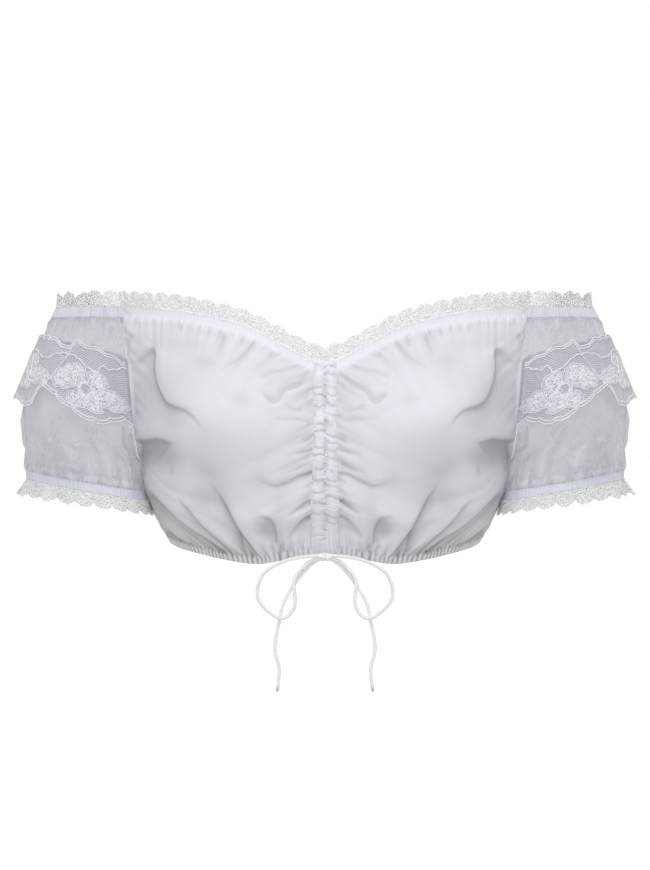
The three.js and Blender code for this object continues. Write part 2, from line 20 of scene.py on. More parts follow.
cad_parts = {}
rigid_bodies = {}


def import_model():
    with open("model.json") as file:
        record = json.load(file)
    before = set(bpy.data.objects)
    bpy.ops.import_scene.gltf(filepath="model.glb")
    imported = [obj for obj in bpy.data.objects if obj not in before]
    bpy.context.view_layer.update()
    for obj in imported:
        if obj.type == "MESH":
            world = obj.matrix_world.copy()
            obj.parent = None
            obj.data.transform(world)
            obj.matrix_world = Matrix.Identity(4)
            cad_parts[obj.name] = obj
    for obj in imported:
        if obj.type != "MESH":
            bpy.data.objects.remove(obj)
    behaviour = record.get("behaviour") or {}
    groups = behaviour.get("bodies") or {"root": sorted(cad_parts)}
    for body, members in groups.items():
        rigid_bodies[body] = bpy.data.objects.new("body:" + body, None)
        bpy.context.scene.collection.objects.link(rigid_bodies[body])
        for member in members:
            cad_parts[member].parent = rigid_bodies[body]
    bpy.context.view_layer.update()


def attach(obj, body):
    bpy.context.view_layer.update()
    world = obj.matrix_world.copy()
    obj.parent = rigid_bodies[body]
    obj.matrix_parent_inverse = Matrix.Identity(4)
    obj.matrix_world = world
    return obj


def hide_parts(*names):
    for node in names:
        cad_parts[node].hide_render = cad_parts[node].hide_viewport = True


Array = np.ndarray
Route = tuple[tuple[float, ...], ...]
Colour = tuple[float, float, float, float]
Curve = Callable[[Array], Array]
Surface = Callable[[Array, Array], Array]
Socket = bpy.types.NodeSocket
LOG = logging.getLogger("dirndl_blouse")
MM = 0.001
ROOT = "root"
# The camera in millimetres: how far in front of the middle it stands, and how high.
EYE_DISTANCE = 2400.0
EYE_HEIGHT = -121.5


class Panel(Enum):
    """The two gathered panels of the body."""

    FRONT = "front"
    BACK = "back"


class Side(Enum):
    """The wearer's two sides, as factors on x."""

    LEFT = 1
    RIGHT = -1

    @property
    def word(self) -> str:
        """The side as it ends a piece's name."""
        return self.name.lower()


# Small curves and noises


def smooth(value: Array) -> Array:
    """A soft step from 0 to 1."""
    t = np.clip(value, 0.0, 1.0)
    return t * t * (3.0 - 2.0 * t)


def mix(low: Array, high: Array, share: Array) -> Array:
    """The value a share of the way from low to high."""
    return low + (high - low) * share


def bell(distance: Array, width: float) -> Array:
    """A bell curve of a distance."""
    return np.exp(-((distance / width) ** 2))


def unit(vectors: Array) -> Array:
    """The vectors at length one."""
    return vectors / np.maximum(np.linalg.norm(vectors, axis=-1, keepdims=True), 1e-9)


def wander(where: Array, scale: float, seed: int) -> Array:
    """Smooth noise from -1 to 1.

    Args:
        where: positions along a line.
        scale: distance over which the noise changes.
        seed: which noise.

    Returns:
        The noise at each position.
    """
    rng = np.random.default_rng(seed)
    rates = rng.uniform(0.55, 1.7, 5) * (2.0 * math.pi / (scale * 2.2))
    phases = rng.uniform(0.0, 2.0 * math.pi, 5)
    waves = [np.sin(rate * where + phase) for rate, phase in zip(rates, phases)]
    return np.clip(sum(waves) / 2.6, -1.0, 1.0)


def ridged(turn: Array, power: float = 1.0) -> Array:
    """Ridges from 0 to 1, one a turn, broader the lower the power."""
    return np.abs(np.sin(math.pi * turn)) ** power


def half_circles(turn: Array) -> Array:
    """Half circles side by side, one a turn, from 0 at their ends to 1."""
    return np.sqrt(np.clip(1.0 - (2.0 * (turn - np.floor(turn)) - 1.0) ** 2, 0.0, 1.0))


def in_picture(points: Array) -> tuple[Array, Array]:
    """Where the camera sees points, as x and z in the upright plane through the middle."""
    scale = EYE_DISTANCE / (EYE_DISTANCE + points[..., 1])
    return points[..., 0] * scale, (points[..., 2] - EYE_HEIGHT) * scale + EYE_HEIGHT


@dataclass(frozen=True)
class SmoothTable:
    """A short table read as a smooth curve, flat past both ends."""

    keys: tuple[float, ...]
    values: tuple[float, ...]

    def at(self, where: Array) -> Array:
        """The curve's value.

        Args:
            where: places along it.

        Returns:
            The value at each place.
        """
        keys, values = np.array(self.keys), np.array(self.values)
        last = len(keys) - 1
        x = np.clip(where, keys[0], keys[-1])
        i = np.clip(np.searchsorted(keys, x, side="left") - 1, 0, last - 1)
        before, after = np.maximum(np.arange(last + 1) - 1, 0), np.minimum(np.arange(last + 1) + 1, last)
        slopes = (values[after] - values[before]) / (keys[after] - keys[before])
        span = keys[i + 1] - keys[i]
        t = (x - keys[i]) / span
        return (
            (2 * t**3 - 3 * t**2 + 1) * values[i]
            + (t**3 - 2 * t**2 + t) * slopes[i] * span
            + (3 * t**2 - 2 * t**3) * values[i + 1]
            + (t**3 - t**2) * slopes[i + 1] * span
        )


def smooth_route(points: Array, count: int) -> Array:
    """A smooth line through a few points.

    Args:
        points: the points, one a row.
        count: how many even steps the line gets.

    Returns:
        count + 1 evenly spaced points.
    """
    points = np.asarray(points, dtype=float)
    ends = np.vstack([2 * points[0] - points[1], points, 2 * points[-1] - points[-2]])
    t = np.linspace(0.0, 1.0, 24, endpoint=False)[:, None]
    pieces = []
    for a, b, c, d in zip(ends, ends[1:], ends[2:], ends[3:]):
        curve = 2 * b + (c - a) * t + (2 * a - 5 * b + 4 * c - d) * t**2 + (3 * b - a - 3 * c + d) * t**3
        pieces.append(0.5 * curve)
    line = np.vstack([*pieces, points[-1:]])
    run = np.concatenate([[0.0], np.cumsum(np.linalg.norm(np.diff(line, axis=0), axis=1))])
    even = np.linspace(0.0, run[-1], count + 1)
    return np.stack([np.interp(even, run, line[:, k]) for k in range(line.shape[1])], axis=1)


def route_length(points: Array) -> float:
    """The length of a line through points."""
    return float(np.linalg.norm(np.diff(points, axis=0), axis=1).sum())


# The cloth's folds


@dataclass(frozen=True)
class Crease:
    """A fold of the cloth along a line seen from the front or the back.

    path holds x and z. ridge is its height along the line, and roll how much higher the cloth on its
    left, going along it, is than the cloth on its right. step makes the roll abrupt. shade is how
    dark the shade painted into the cloth's colour along the fold is.
    """

    path: Route
    ridge: float = 0.0
    roll: float = 0.0
    width: float = 6.0
    step: float = 0.0
    fade_in: float = 0.25
    fade_out: float = 0.25
    shade: float = 0.0

    def shape(self, x: Array, z: Array) -> Array:
        """The fold at each point.

        Args:
            x: the points' x in the picture.
            z: their z.

        Returns:
            Its height and how much shade is painted there, from 0 to 1, as two layers.
        """
        line = smooth_route(np.array(self.path), 24)
        reach = 3.2 * self.width
        low, high = line.min(axis=0) - reach, line.max(axis=0) + reach
        near = (x > low[0]) & (x < high[0]) & (z > low[1]) & (z < high[1])
        total = np.zeros((2, *x.shape))
        if not near.any():
            return total
        here = np.stack([x[near], z[near]], axis=1)
        start, leg = line[:-1], np.diff(line, axis=0)
        off = here[:, None, :] - start[None]
        t = np.clip((off * leg).sum(-1) / (leg**2).sum(-1), 0.0, 1.0)
        off = off - t[..., None] * leg
        distance = np.linalg.norm(off, axis=-1)
        best = distance.argmin(axis=1)
        rows = np.arange(len(here))
        distance, off, along = distance[rows, best], off[rows, best], unit(leg)[best]
        share = (best + t[rows, best]) / len(leg)
        ends = smooth(share / self.fade_in) * smooth((1.0 - share) / self.fade_out)
        width = self.width * (0.45 + 0.55 * ends)
        side = (along[:, 0] * off[:, 1] - along[:, 1] * off[:, 0]) / width
        swing = np.tanh(side / self.step) if self.step else side
        lift = self.ridge * bell(distance, width) + self.roll * swing * bell(distance, 1.6 * width)
        total[0][near] = ends * lift
        # Painted shade: under an abrupt roll a sharp line with a tail down the lower side, else a bell along
        # the line.
        below = -math.copysign(1.0, self.roll) * side
        tail = np.where(below > 0.0, np.exp(-below) * smooth((3.0 - below) / 1.5), bell(below, 0.25))
        total[1][near] = ends * self.shade * (tail if self.step else bell(distance, 0.8 * width))
        return total


@dataclass(frozen=True)
class Gathers:
    """Ridges that run away from an edge where the cloth is gathered.

    pitch is the distance between them and height how high they are. They begin at start off the edge,
    hold to hold and are mostly gone fade further on. seed picks their unevenness, slant is how much of
    the panel's slant they follow, crisp under 1 makes them broad with sharp valleys between, and shade
    is how much shade is painted into the valleys, painted highlight on the organza's white.
    """

    pitch: float
    height: float
    start: float
    hold: float
    fade: float
    seed: int
    slant: float = 0.0
    crisp: float = 1.0
    shade: float = 0.3

    def shape(self, along: Array, off: Array) -> Array:
        """The ridges' height and the shade painted between them, as two layers.

        Args:
            along: distance along the edge.
            off: distance from the edge.

        Returns:
            Heights, never below 0, and painted shade from 0 to about 1.
        """
        line = along + 0.06 * off * wander(along, 4.0 * self.pitch, self.seed + 7)
        turn = line / self.pitch + 0.33 * wander(line, 3.1 * self.pitch, self.seed)
        shape = ridged(turn, self.crisp)
        uneven = 0.76 + 0.24 * wander(line, 2.3 * self.pitch, self.seed + 1)
        reach = self.fade * (0.75 + 0.45 * wander(line, 1.7 * self.pitch, self.seed + 2))
        grows = smooth((off - self.start) / (1.0 + 0.25 * self.start)) if self.start else 1.0
        grown = uneven * grows * np.exp(-np.maximum(off - self.hold, 0.0) / reach)
        return np.stack([self.height * grown * shape, self.shade * grown * (1.0 - shape) ** 1.3])


# Creases of the front in the plane of the camera's picture, with x outwards from the middle, the last number
# of each the shade painted along it.
FRONT_CREASES: tuple[Crease, ...] = (
    Crease(((153, -41), (152.7, -68), (146.7, -86.8), (139.5, -94.5), (124, -100), (113.4, -111.6),
            (104, -124)), -1.0, -2.0, 5, 0.16, 0.08, 0.6, 0.54),
    Crease(((154, -36), (153, -68), (147, -84), (138, -96), (120, -106), (108, -124)), 0, -4.0, 17, 0,
           0.3, 0.4, 0.12),
    Crease(((154, -43), (162, -49), (173, -59)), -0.5, 1.2, 5, 0.4, 0.1, 0.3, 0.2),
    Crease(((172, -127.5), (158, -126.3), (150.3, -126), (133, -130.5)), -0.8, -3.2, 7, 0.2, 0.02, 0.5, 0.58),
    Crease(((172, -139), (146, -141), (120, -149)), -3.0, 0, 15, 0, 0.02, 0.5, 0.42),
    Crease(((168, -160), (158, -190), (140, -212)), -1.0, 0, 15, 0, 0.3, 0.4, 0.24),
    Crease(((139, -131), (110, -152), (92, -184), (76, -208)), -3.5, 0, 14, 0, 0.4, 0.4, 0.22),
    Crease(((161, -168), (146, -184.5), (125.6, -203), (107, -215.5), (85.5, -230)),
           -1.2, -3.2, 6, 0.18, 0.12, 0.05, 0.58),
    Crease(((133, -177), (118, -195), (104, -209), (91, -220), (77.6, -232)),
           -1.2, -2.4, 4.5, 0.2, 0.25, 0.08, 0.55),
    Crease(((107, -160), (91.8, -183), (79.2, -204.5), (67.5, -220.5), (59, -232)),
           -1.6, -3.0, 6, 0.2, 0.5, 0.08, 0.7),
    Crease(((79.2, -203), (76, -217), (70.2, -232)), -1.4, -1.2, 3, 0.3, 0.3, 0.1, 0.45),
    Crease(((144, -204), (125.6, -218.4), (111, -223.5)), -0.9, -1.8, 4.5, 0.25, 0.15, 0.2, 0.6),
    Crease(((62, -194), (49.5, -198), (44.5, -208), (43.4, -221)), -0.4, -3.2, 6, 0.22, 0.35, 0.12, 0.4),
    Crease(((60, -197), (54, -206), (51, -219)), -3.2, 0, 9, 0, 0.45, 0.45, 0.3),
    Crease(((49, -219), (42.3, -229)), -1.6, -1.0, 2.4, 0.4, 0.2, 0.3, 0.34),
    Crease(((41, -220), (33.5, -227)), -1.5, -0.9, 2.2, 0.4, 0.2, 0.3, 0.3),
    Crease(((4, -192.6), (17, -195), (26, -204), (36, -217)), -2.2, 1.4, 3.2, 0.3, 0.1, 0.4, 0.55),
    Crease(((4, -179), (12, -179), (20, -184), (36, -197)), -2.0, 1.4, 3.4, 0.3, 0.1, 0.5, 0.5),
    Crease(((8, -154.5), (20.7, -157), (36, -164.5), (48, -166.5), (70, -157)), -2.0, 0.9, 4.5, 0.3, 0.05,
           0.6, 0.42),
    Crease(((45, -163), (58, -168), (72, -160)), -1.6, 0, 10, 0, 0.5, 0.5, 0.12),
    Crease(((12, -145.6), (26.5, -152), (39, -156.6)), -1.6, 0.6, 3.2, 0.4, 0.1, 0.6, 0.3),
    Crease(((9, -133.5), (20, -136.5), (34, -140)), -1.7, 0.6, 3.0, 0.4, 0.1, 0.6, 0.4),
    Crease(((9, -122), (16, -125.5), (26, -131.5)), -1.7, 0.6, 2.8, 0.4, 0.1, 0.6, 0.45),
    Crease(((12, -109.5), (29.7, -107), (51, -108)), -0.9, 0.3, 2.6, 0.5, 0.1, 0.6, 0.22),
    Crease(((18, -99.4), (29.7, -97.6), (37.4, -93)), -0.8, 0.3, 2.6, 0.5, 0.25, 0.3, 0.2),
    Crease(((57.6, -80.6), (53, -88.3), (46.8, -92.7), (40.5, -89.8), (36, -82), (23.4, -77.4), (10, -64)),
           -1.4, 1.0, 3.0, 0.35, 0.15, 0.3, 0.36),
    Crease(((60.6, -73), (48, -66.6), (30, -62)), -0.8, 0.3, 2.6, 0.5, 0.2, 0.3, 0.2),
    Crease(((62, -35), (76, -51), (93, -62), (104, -72)), -1.2, 0.4, 3.0, 0.5, 0.05, 0.6, 0.28),
    Crease(((87.7, -24), (93, -38.7), (100, -58)), -1.3, 0, 3.4, 0, 0.05, 0.7, 0.34),
    Crease(((70, -31), (78, -46)), -1.2, 0, 2.6, 0, 0.1, 0.6, 0.3),
    Crease(((102.6, -20), (105.5, -36)), -1.0, 0, 2.2, 0, 0.1, 0.5, 0.28),
    Crease(((128, -15), (130, -33)), -1.0, 0, 2.4, 0, 0.1, 0.5, 0.28),
    Crease(((174, -30), (178, -46)), -1.0, 0, 2.4, 0, 0.1, 0.5, 0.25),
    Crease(((44, -44), (54, -54)), -1.0, 0, 2.2, 0, 0.1, 0.6, 0.28),
    Crease(((30, -46), (40, -54)), -1.0, 0, 2.0, 0, 0.1, 0.6, 0.28),
    Crease(((113, -48), (110, -72)), -2.2, 0, 12, 0, 0.5, 0.5, 0.1),
    Crease(((72, -80), (80, -106)), -2.2, 0, 11, 0, 0.5, 0.5, 0.1),
    Crease(((139.5, -147), (138.5, -163)), -0.6, 0, 2.0, 0, 0.3, 0.5, 0.25),
    Crease(((122, -162), (111, -182), (103, -200)), -1.2, 0, 13, 0, 0.5, 0.5, 0.2),
    Crease(((166, -58), (166, -88), (170, -118)), -0.6, 0, 11, 0, 0.4, 0.4, 0.12),
    Crease(((124, -46), (121, -72), (114, -98)), -1.6, 0, 15, 0, 0.5, 0.5, 0.09),
    Crease(((66, -196), (58, -206), (54, -218)), -0.8, 0, 6, 0, 0.4, 0.4, 0.14),
)

# Creases of the back, seen from the front as if through the cloth.
BACK_CREASES: tuple[Crease, ...] = (
    Crease(((-120, -70), (-96, -110), (-84, -160)), -2.5, 2.5, 7, 0.8),
    Crease(((-60, -96), (-40, -132), (-48, -180)), -2.2, -1.8, 6, 0.7),
    Crease(((-10, -92), (2, -120), (-6, -150)), -2.0, 0, 7),
    Crease(((40, -90), (66, -130), (58, -184)), -2.6, 2.2, 7, 0.6),
    Crease(((126, -64), (108, -104), (92, -148), (96, -190)), -2.4, -2.6, 7, 0.6),
    Crease(((-150, -150), (-118, -186), (-92, -214)), -2.8, -3.4, 5, 0.4),
    Crease(((148, -146), (122, -180), (88, -212)), -2.8, -3.4, 5, 0.4),
    Crease(((-90, -172), (-66, -200), (-52, -216)), -2.2, -2.4, 4, 0.5),
    Crease(((74, -166), (50, -192), (40, -214)), -2.0, -2.4, 4, 0.5),
    Crease(((16, -180), (22, -200), (14, -216)), -1.8, -1.4, 4, 0.5),
    Crease(((-22, -170), (-30, -196), (-22, -216)), -1.8, 1.2, 4, 0.5),
)


# The worn shape of the cloth


@dataclass(frozen=True)
class PanelSpots:
    """Points of a panel: where they lie and how the cloth's slack lifts them."""

    base: Array
    outward: Array
    lift: Array
    above_hem: Array
    below_top: Array

    def points(self, extra: Array | float = 0.0) -> Array:
        """The points with their slack and any extra height."""
        return self.base + self.outward * (self.lift + extra)[..., None]


@dataclass(frozen=True)
class BlouseForm:
    """The blouse's surfaces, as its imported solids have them, in millimetres.

    The depths and widths are tables over z, billow over the height above the hem, the panels' edges
    over the share from the middle, and the sleeve's over its rise.
    """

    top_z: float = -9.0
    underarm_z: float = -141.0
    side_hem_z: float = -216.0
    armhole_front: float = 62.0
    armhole_back: float = 54.0
    seam_gap: float = 0.3
    snug: float = 0.6
    neck_release: float = 26.0
    cup_release: float = 30.0
    hem_release: float = 30.0
    front_slack: float = 0.35
    cuff_in_z: float = -180.0
    cuff_out_z: float = -160.0
    sleeve_clearance: float = 0.7
    sleeve_wave: float = 1.6
    bust_out: float = 25.0
    bust_x: float = 84.0
    bust_z: float = -112.0
    bust_half_width: float = 46.0
    bust_half_height: float = 44.0
    middle_in: float = 9.0
    middle_half_width: float = 17.0
    back_wave: float = 3.0
    half_width: SmoothTable = SmoothTable(
        (-240, -216, -178, -141, -116, -88, -52, -8), (136, 138.5, 147, 157, 170, 183, 198, 216))
    front_depth: SmoothTable = SmoothTable(
        (-240, -216, -178, -141, -116, -88, -52, -8), (92, 98, 108, 115, 117, 116, 113, 110))
    back_depth: SmoothTable = SmoothTable(
        (-240, -216, -178, -141, -116, -88, -52, -8), (84, 86, 88, 90, 92, 93, 92, 88))
    billow: SmoothTable = SmoothTable(
        (0, 11, 26, 38, 55, 75, 100, 130, 210), (0, 4.5, 9.5, 12.5, 11.5, 9.5, 7, 6, 5))
    front_top: SmoothTable = SmoothTable(
        (0, 0.09, 0.2, 0.33, 0.46, 0.57, 0.68, 1), (-60, -54, -42, -28.5, -21, -16.5, -13, -9))
    front_hem: SmoothTable = SmoothTable(
        (0, 0.15, 0.28, 0.45, 0.6, 1), (-223.5, -229, -233.5, -230, -225.5, -216))
    back_top: SmoothTable = SmoothTable((0, 0.3, 0.6, 0.85, 1), (-68, -66, -50, -22, -9))
    back_hem: SmoothTable = SmoothTable((0, 0.5, 1), (-222, -220, -216))
    sleeve_depth: SmoothTable = SmoothTable(
        (0, 0.05, 0.2, 0.4, 0.6, 0.8, 0.92, 1), (52, 53, 62, 69, 71, 68, 63, 60))
    sleeve_out: SmoothTable = SmoothTable(
        (0, 0.05, 0.2, 0.4, 0.6, 0.8, 0.92, 1), (268, 268.5, 270, 272, 265, 255, 247, 241))

    def panel_angle(self, z: Array, panel: Panel) -> Array:
        """The angle from a panel's middle to its side edge.

        Args:
            z: heights.
            panel: which panel.

        Returns:
            The angle at each height, in radians.
        """
        front = panel is Panel.FRONT
        share = np.clip((z - self.underarm_z) / (self.top_z - self.underarm_z), 0.0, 1.0)
        full = self.armhole_front if front else self.armhole_back
        reach = np.maximum(full * np.sqrt(1.0 - (1.0 - share) ** 2), self.seam_gap / 2)
        return np.arccos(reach / (self.front_depth if front else self.back_depth).at(z))

    def panel(self, panel: Panel, share: Array, rise: Array) -> PanelSpots:
        """Spots of a body panel.

        Args:
            panel: which panel.
            share: from -1 at one side edge to 1 at the other.
            rise: from 0 at the hem to 1 at the neckline.

        Returns:
            The spots, in the shape that share and rise have together.
        """
        front = panel is Panel.FRONT
        share, rise = np.broadcast_arrays(np.asarray(share, float), np.asarray(rise, float))
        across = np.abs(share)
        top_z = (self.front_top if front else self.back_top).at(across)
        hem_z = (self.front_hem if front else self.back_hem).at(across)
        z = mix(hem_z, top_z, rise)
        angle = share * self.panel_angle(mix(self.side_hem_z, self.top_z, rise), panel)
        turn = angle if front else math.pi + angle
        sine, cosine = np.sin(turn), np.cos(turn)
        half = self.half_width.at(z)
        depth = np.where(cosine > 0, self.front_depth.at(z), self.back_depth.at(z))
        base = np.stack([half * sine, -depth * cosine, z], axis=-1)
        outward = unit(np.stack([sine / half, -cosine / depth, np.zeros_like(z)], axis=-1))
        held = smooth((top_z - z) / self.neck_release)
        out = self.billow.at(z - hem_z) * (1.0 + self.front_slack * np.cos(angle) ** 2)
        hem_hold = smooth((z - hem_z) / self.hem_release)
        if front:
            x = base[..., 0]
            sewn = smooth((top_z - z) / self.cup_release) * hem_hold
            bust = self.bust_out * bell(np.abs(x) - self.bust_x, self.bust_half_width)
            out = out + bust * bell(z - self.bust_z, self.bust_half_height) * held
            out = out - self.middle_in * bell(x, self.middle_half_width) * sewn
        else:
            waves = np.cos(math.pi * 9 * share + 1.3 * np.sin(5 * share))
            out = out + self.back_wave * waves * hem_hold * smooth((1.0 - across) / 0.1)
        return PanelSpots(base, outward, mix(self.snug, out, held), z - hem_z, top_z - z)

    def sleeve(self, share: Array, rise: Array) -> Array:
        """Points of the sleeve on the wearer's left arm.

        Args:
            share: from -1 at the front armhole over 0 at the arm's outer side to 1 at the back armhole.
            rise: from 0 at the cuff to 1 at the neckline.

        Returns:
            The points, in the shape that share and rise have together.
        """
        share, rise = np.broadcast_arrays(np.asarray(share, float), np.asarray(rise, float))
        in_z = mix(self.cuff_in_z, self.top_z, rise)
        out_z = mix(self.cuff_out_z, self.top_z, rise)
        body_rise = (in_z - self.side_hem_z) / (self.top_z - self.side_hem_z)
        closed = in_z <= self.underarm_z + 0.01
        front = self.panel(Panel.FRONT, 1.0, body_rise).points()
        back = self.panel(Panel.BACK, -1.0, body_rise).points()
        front_y, back_y = np.where(closed, 0.0, front[..., 1]), np.where(closed, 0.0, back[..., 1])
        front_x = front[..., 0]
        back_x = np.where(closed, front_x, back[..., 0])
        middle_x = (front_x + back_x) / 2 + self.sleeve_clearance
        chord = (back_y - front_y) / 2
        half_depth = np.maximum(self.sleeve_depth.at(rise), chord)
        end = math.pi - np.arcsin(chord / half_depth)
        out = self.sleeve_out.at(rise)
        half_width = (out - middle_x) / (1.0 - np.cos(end))
        angle = share * end
        inward = (1.0 - np.cos(angle)) / (1.0 - np.cos(end))
        between = smooth(rise / 0.3) * smooth((1.0 - rise) / 0.3)
        puff = self.sleeve_wave * between * 4 * inward * (1 - inward) * np.cos(5 * math.pi * share)
        x = out - half_width + (half_width + puff) * np.cos(angle) + (back_x - front_x) / 2 * share * inward
        y = (front_y + back_y) / 2 + (half_depth + puff) * np.sin(angle)
        return np.stack([x, y, mix(out_z, in_z, inward)], axis=-1)


FORM = BlouseForm()


def grid_directions(points: Array) -> tuple[Array, Array, Array]:
    """Directions of a grid of points whose rows go up and whose columns go round anticlockwise.

    Args:
        points: the grid, rows by columns by 3.

    Returns:
        Unit vectors across, up and outward at each point.
    """
    across = unit(np.gradient(points, axis=1))
    up = np.gradient(points, axis=0)
    outward = unit(np.cross(across, up))
    return across, unit(up), outward


def steps_along(surface: Surface, share: Array, rise: Array) -> tuple[Array, Array]:
    """Short steps across and up a surface of share and rise.

    Args:
        surface: a function that gives points from shares and rises.
        share: places across it.
        rise: places up it.

    Returns:
        The two steps at each point.
    """
    step = 1e-3
    return (surface(share + step, rise) - surface(share - step, rise),
            surface(share, rise + step) - surface(share, rise - step))


def mirrored(points: Array, side: Side) -> Array:
    """A grid of the left side, or the same grid turned over for the right, still facing out.

    Args:
        points: a grid of points on the wearer's left.
        side: the side that the grid is for.

    Returns:
        The grid for that side.
    """
    if side is Side.LEFT:
        return points
    return (points * np.array([-1.0, 1.0, 1.0]))[:, ::-1]


def turned(values: Array, side: Side) -> Array:
    """Numbers on a grid of the left side, in the order that mirrored gives the grid's points."""
    return values if side is Side.LEFT else values[:, ::-1]


# Meshes


@dataclass(frozen=True)
class Row:
    """A line of mesh points with each one's place along it."""

    ids: Array
    places: Array

    def part(self, index: int) -> int:
        """One of the row's point numbers."""
        return int(self.ids[index])


class WallMesh:
    """A mesh built from rows of points that may differ in number."""

    def __init__(self) -> None:
        """Starts an empty mesh."""
        self.points: list[Array] = []
        self.maps: list[Array] = []
        self.values: list[Array] = []
        self.faces: list[list[int]] = []
        self.count = 0

    def row(self, points: Array, places: Array, flat: Array, values: Array | None = None) -> Row:
        """Adds a row of points.

        Args:
            points: the points in millimetres.
            places: each point's place along the row, rising.
            flat: each point's place in the flat cloth, in metres.
            values: one number at each point for the finish, or None.

        Returns:
            The row.
        """
        size = len(points)
        ids = np.arange(self.count, self.count + size)
        self.count += size
        self.points.append(points)
        self.maps.append(flat)
        self.values.append(np.zeros(size) if values is None else values)
        return Row(ids, places)

    def bridge(self, low: Row, high: Row) -> None:
        """Joins two rows, so that the faces look along the rows' direction crossed with low to high.

        Args:
            low: the first row.
            high: the second row, which may have another number of points.
        """
        if len(low.ids) == len(high.ids):
            quads = np.stack([low.ids[:-1], low.ids[1:], high.ids[1:], high.ids[:-1]], axis=1)
            self.faces.extend(quads.tolist())
            return
        i, j = 0, 0
        last_low, last_high = len(low.ids) - 1, len(high.ids) - 1
        while i < last_low or j < last_high:
            if j == last_high or (i < last_low and low.places[i + 1] <= high.places[j + 1]):
                self.faces.append([low.part(i), low.part(i + 1), high.part(j)])
                i += 1
            else:
                self.faces.append([low.part(i), high.part(j + 1), high.part(j)])
                j += 1

    def close(self, outer: list[Row], inner: list[Row], rims: bool = True) -> None:
        """Joins rows of an outer and an inner face, both from the bottom up, into one closed wall.

        Args:
            outer: the outer face's rows.
            inner: the inner face's rows.
            rims: whether the wall's two side edges are closed too.
        """
        for low, high in zip(outer, outer[1:]):
            self.bridge(low, high)
        for low, high in zip(inner, inner[1:]):
            self.bridge(high, low)
        self.bridge(inner[0], outer[0])
        self.bridge(outer[-1], inner[-1])
        if not rims:
            return
        sides = []
        for end in (0, -1):
            for rows in (outer, inner):
                heights = np.linspace(0.0, 1.0, len(rows))
                sides.append(Row(np.array([row.part(end) for row in rows]), heights))
        self.bridge(sides[0], sides[1])
        self.bridge(sides[3], sides[2])

    def build(self, name: str, material: bpy.types.Material, weld: bool = False) -> bpy.types.Object:
        """Makes the object.

        Args:
            name: the object's name.
            material: its finish.
            weld: whether points in the same place become one.

        Returns:
            The object, with a UV map and a point attribute that holds lace density, cord wear, and the shade
            and highlight painted into the cloth.
        """
        mesh = bpy.data.meshes.new(name)
        mesh.from_pydata((np.vstack(self.points) * MM).tolist(), [], self.faces)
        corners = np.empty(len(mesh.loops), dtype=np.int32)
        mesh.loops.foreach_get("vertex_index", corners)
        mesh.uv_layers.new(name="cloth").data.foreach_set("uv", np.vstack(self.maps)[corners].ravel())
        density_wear_and_painted_light = mesh.attributes.new("density_wear_and_painted_light", "FLOAT", "POINT")
        density_wear_and_painted_light.data.foreach_set("value", np.concatenate(self.values).astype(np.float32))
        if weld:
            weld_mesh(mesh)
        return finished(name, mesh, material)


def weld_mesh(mesh: bpy.types.Mesh) -> None:
    """Merges points that lie in the same place.

    Args:
        mesh: their mesh.
    """
    work = bmesh.new()
    work.from_mesh(mesh)
    bmesh.ops.remove_doubles(work, verts=work.verts, dist=2e-6)
    work.to_mesh(mesh)
    work.free()


def finished(name: str, mesh: bpy.types.Mesh, material: bpy.types.Material | None) -> bpy.types.Object:
    """Makes a smooth-shaded object of a mesh and links it.

    Args:
        name: the object's name.
        mesh: its mesh.
        material: its finish, or None where the mesh has its own.

    Returns:
        The object.
    """
    if material is not None:
        mesh.materials.clear()
        mesh.materials.append(material)
    mesh.polygons.foreach_set("use_smooth", [True] * len(mesh.polygons))
    mesh.set_sharp_from_angle(angle=math.radians(74))
    mesh.update()
    thing = bpy.data.objects.new(name, mesh)
    bpy.context.scene.collection.objects.link(thing)
    return thing


def flat_places(share: Array, rise: float, width: float, height: float) -> Array:
    """Places in the flat cloth, in metres, of a row of shares at one rise."""
    return np.stack([share * width / 2, np.full_like(share, rise * height)], axis=1)


def wall_from_grids(
    name: str,
    outer: Array,
    inner: Array,
    material: bpy.types.Material,
    flat: tuple[float, float],
    ring: bool = False,
    values: Array | None = None,
) -> bpy.types.Object:
    """A closed wall between two grids of the same size.

    Args:
        name: the object's name.
        outer: the outer face, rows by columns by 3, in millimetres.
        inner: the inner face.
        material: its finish.
        flat: the flat cloth's width and height in metres.
        ring: whether the side edges meet.
        values: the numbers of the point attribute for lace density, cord wear and painted shade and
            highlight, rows by columns, or None.

    Returns:
        The object.
    """
    rows, columns = outer.shape[:2]
    share = np.linspace(-1.0, 1.0, columns)
    wall = WallMesh()
    faces: list[list[Row]] = []
    for grid in (outer, inner):
        face = []
        for r in range(rows):
            marks = None if values is None else values[r]
            face.append(wall.row(grid[r], share, flat_places(share, r / (rows - 1), *flat), marks))
        faces.append(face)
    wall.close(faces[0], faces[1], rims=not ring)
    return wall.build(name, material, weld=ring)


# Node trees


class TreeKind(Enum):
    """The two kinds of node tree that are built here."""

    SHADER = "ShaderNodeTree"
    SHAPE = "GeometryNodeTree"


